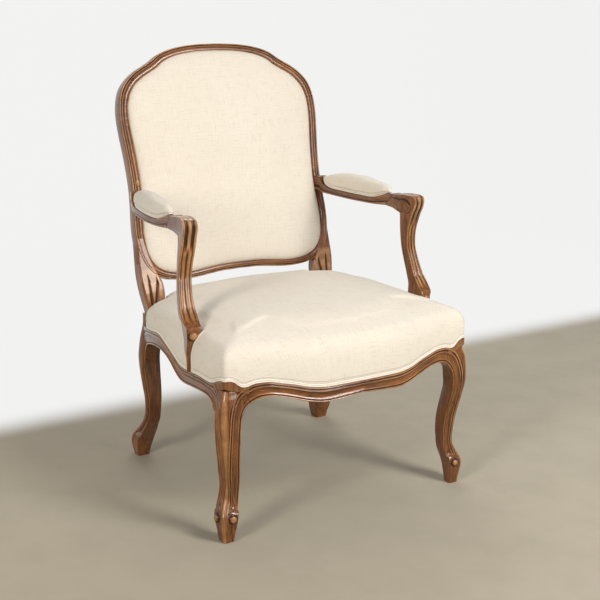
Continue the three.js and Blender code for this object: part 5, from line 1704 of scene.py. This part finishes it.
def stage():
    bend = [(BEND_START + math.sin(a) * BEND_RADIUS, BEND_RADIUS - math.cos(a) * BEND_RADIUS)
            for a in spread(.1, 1.57, 12)]
    section = [(FLOOR_START, 0), (BEND_START, 0), *bend, TOP]
    count = len(section)
    mesh = bpy.data.meshes.new("backdrop")
    mesh.from_pydata([(x, y, z) for x in (-HALF_WIDTH, HALF_WIDTH) for y, z in section], [],
                     [(k, k + count, k + count + 1, k + 1) for k in range(count - 1)])
    piece = bpy.data.objects.new("backdrop", mesh)
    bpy.context.collection.objects.link(piece)
    only(piece)
    bpy.ops.object.shade_smooth()
    p = Paint("backdrop", .85, Specular_IOR_Level=.2)
    right, back, _ = p.parts(p.place())
    rise = back.step(.49, .68)
    speck = p.noise(p.place(), 9, 6, .6)
    # The floor is painted lighter towards the right, a painted pool of the key light.
    colour = p.mix(right.step(-.9, 1.3), (.43, .385, .30), (.50, .455, .365))
    colour = p.mix(speck.step(.35, .7) * .2, colour, (.33, .295, .23))
    colour = p.mix(rise, colour, (.90, .90, .895))
    piece.data.materials.append(p.end(colour, None, speck, .1, .001))
    bounced = p.node("LightPath", "Is Glossy Ray") + p.node("LightPath", "Is Transmission Ray")
    seen = p.node("LightPath") + bounced * .4
    glow = p.node("Emission", "Emission", Color=(.93, .93, .925, 1), Strength=.97)
    both_kinds = p.tree.nodes.new("ShaderNodeMixShader")
    for slot, link in enumerate((rise * seen * .95, Sum(p.tree, p.shader.outputs[0]), glow)):
        fill_slot(p.tree, both_kinds.inputs[slot], link)
    p.tree.links.new(both_kinds.outputs[0], p.tree.nodes["Material Output"].inputs["Surface"])


stage()
print("floor and backdrop made")


# %% [markdown]
# The light is a large soft source high in front and to the right, a low one that reaches under the
# arms, a warm one to the left, one from behind, and an even surround. The surround looks pale to
# the camera and lights the chair weakly.

# %%
def lamp(name, spot, aim, size, power, tint=(1, 1, 1)):
    light = bpy.data.lights.new(name, "AREA")
    light.shape, light.size, light.size_y = "RECTANGLE", size[0], size[1]
    light.energy, light.color = power, tint
    piece = bpy.data.objects.new(name, light)
    piece.location = spot
    piece.rotation_euler = (Vector(aim) - Vector(spot)).to_track_quat("-Z", "Y").to_euler()
    bpy.context.collection.objects.link(piece)


lamp("key", spot=(1.1, -2.8, 2.6), aim=(0, 0, .5), size=(1.1, .9), power=72, tint=(1, .98, .95))
lamp("front", spot=(1.05, -2.7, 1.25), aim=(-.1, 0, .65), size=(.6, 1), power=24, tint=(1, .98, .94))
lamp("fill", spot=(-2.6, -1.3, 1.6), aim=(0, 0, .5), size=(.7, 1.6), power=42, tint=(1, .96, .90))
lamp("rear", spot=(.9, 2.0, 2.7), aim=(0, 0, .6), size=(1.8, .8), power=20)

LIT, SEEN = .26, .93
world = bpy.data.worlds.new("surround")
bpy.context.scene.world = world
world.use_nodes = True
surround = world.node_tree.nodes["Background"]
surround.inputs["Color"].default_value = (.97, .96, .95, 1)
ray = world.node_tree.nodes.new("ShaderNodeLightPath")
strength = Sum(world.node_tree, ray.outputs["Is Camera Ray"]) * (SEEN - LIT) + LIT
fill_slot(world.node_tree, surround.inputs["Strength"], strength)
bpy.context.scene.view_settings.view_transform = "Standard"
# %% [markdown]
# The camera stands where the photograph was taken, worked out from the chair's own corners: its
# turn about the chair, its tilt, its place in millimetres, and a lens that fills a square frame.

# %%
TURN, TILT, EYE = math.radians(-31.022), math.radians(14.576), (-1189.8, -2045.1, 1019.5)
away = Vector((math.sin(TURN) * math.cos(TILT), -math.cos(TURN) * math.cos(TILT), math.sin(TILT)))
across = Vector((math.cos(TURN), math.sin(TURN), 0))
lens = bpy.data.cameras.new("camera")
lens.lens, lens.sensor_width = 65.55, 36
camera = bpy.data.objects.new("camera", lens)
camera.matrix_world = Matrix.Translation(place(EYE)) @ Matrix(
    (across, away.cross(across), away)).transposed().to_4x4()
bpy.context.collection.objects.link(camera)
bpy.context.scene.camera = camera
print("camera at", [round(v, 3) for v in camera.location])

# %% [markdown]
# A helper rounds a box's corners to five places.

# %%
def numbers(box):
    return [[round(v, 5) for v in corner] for corner in box]
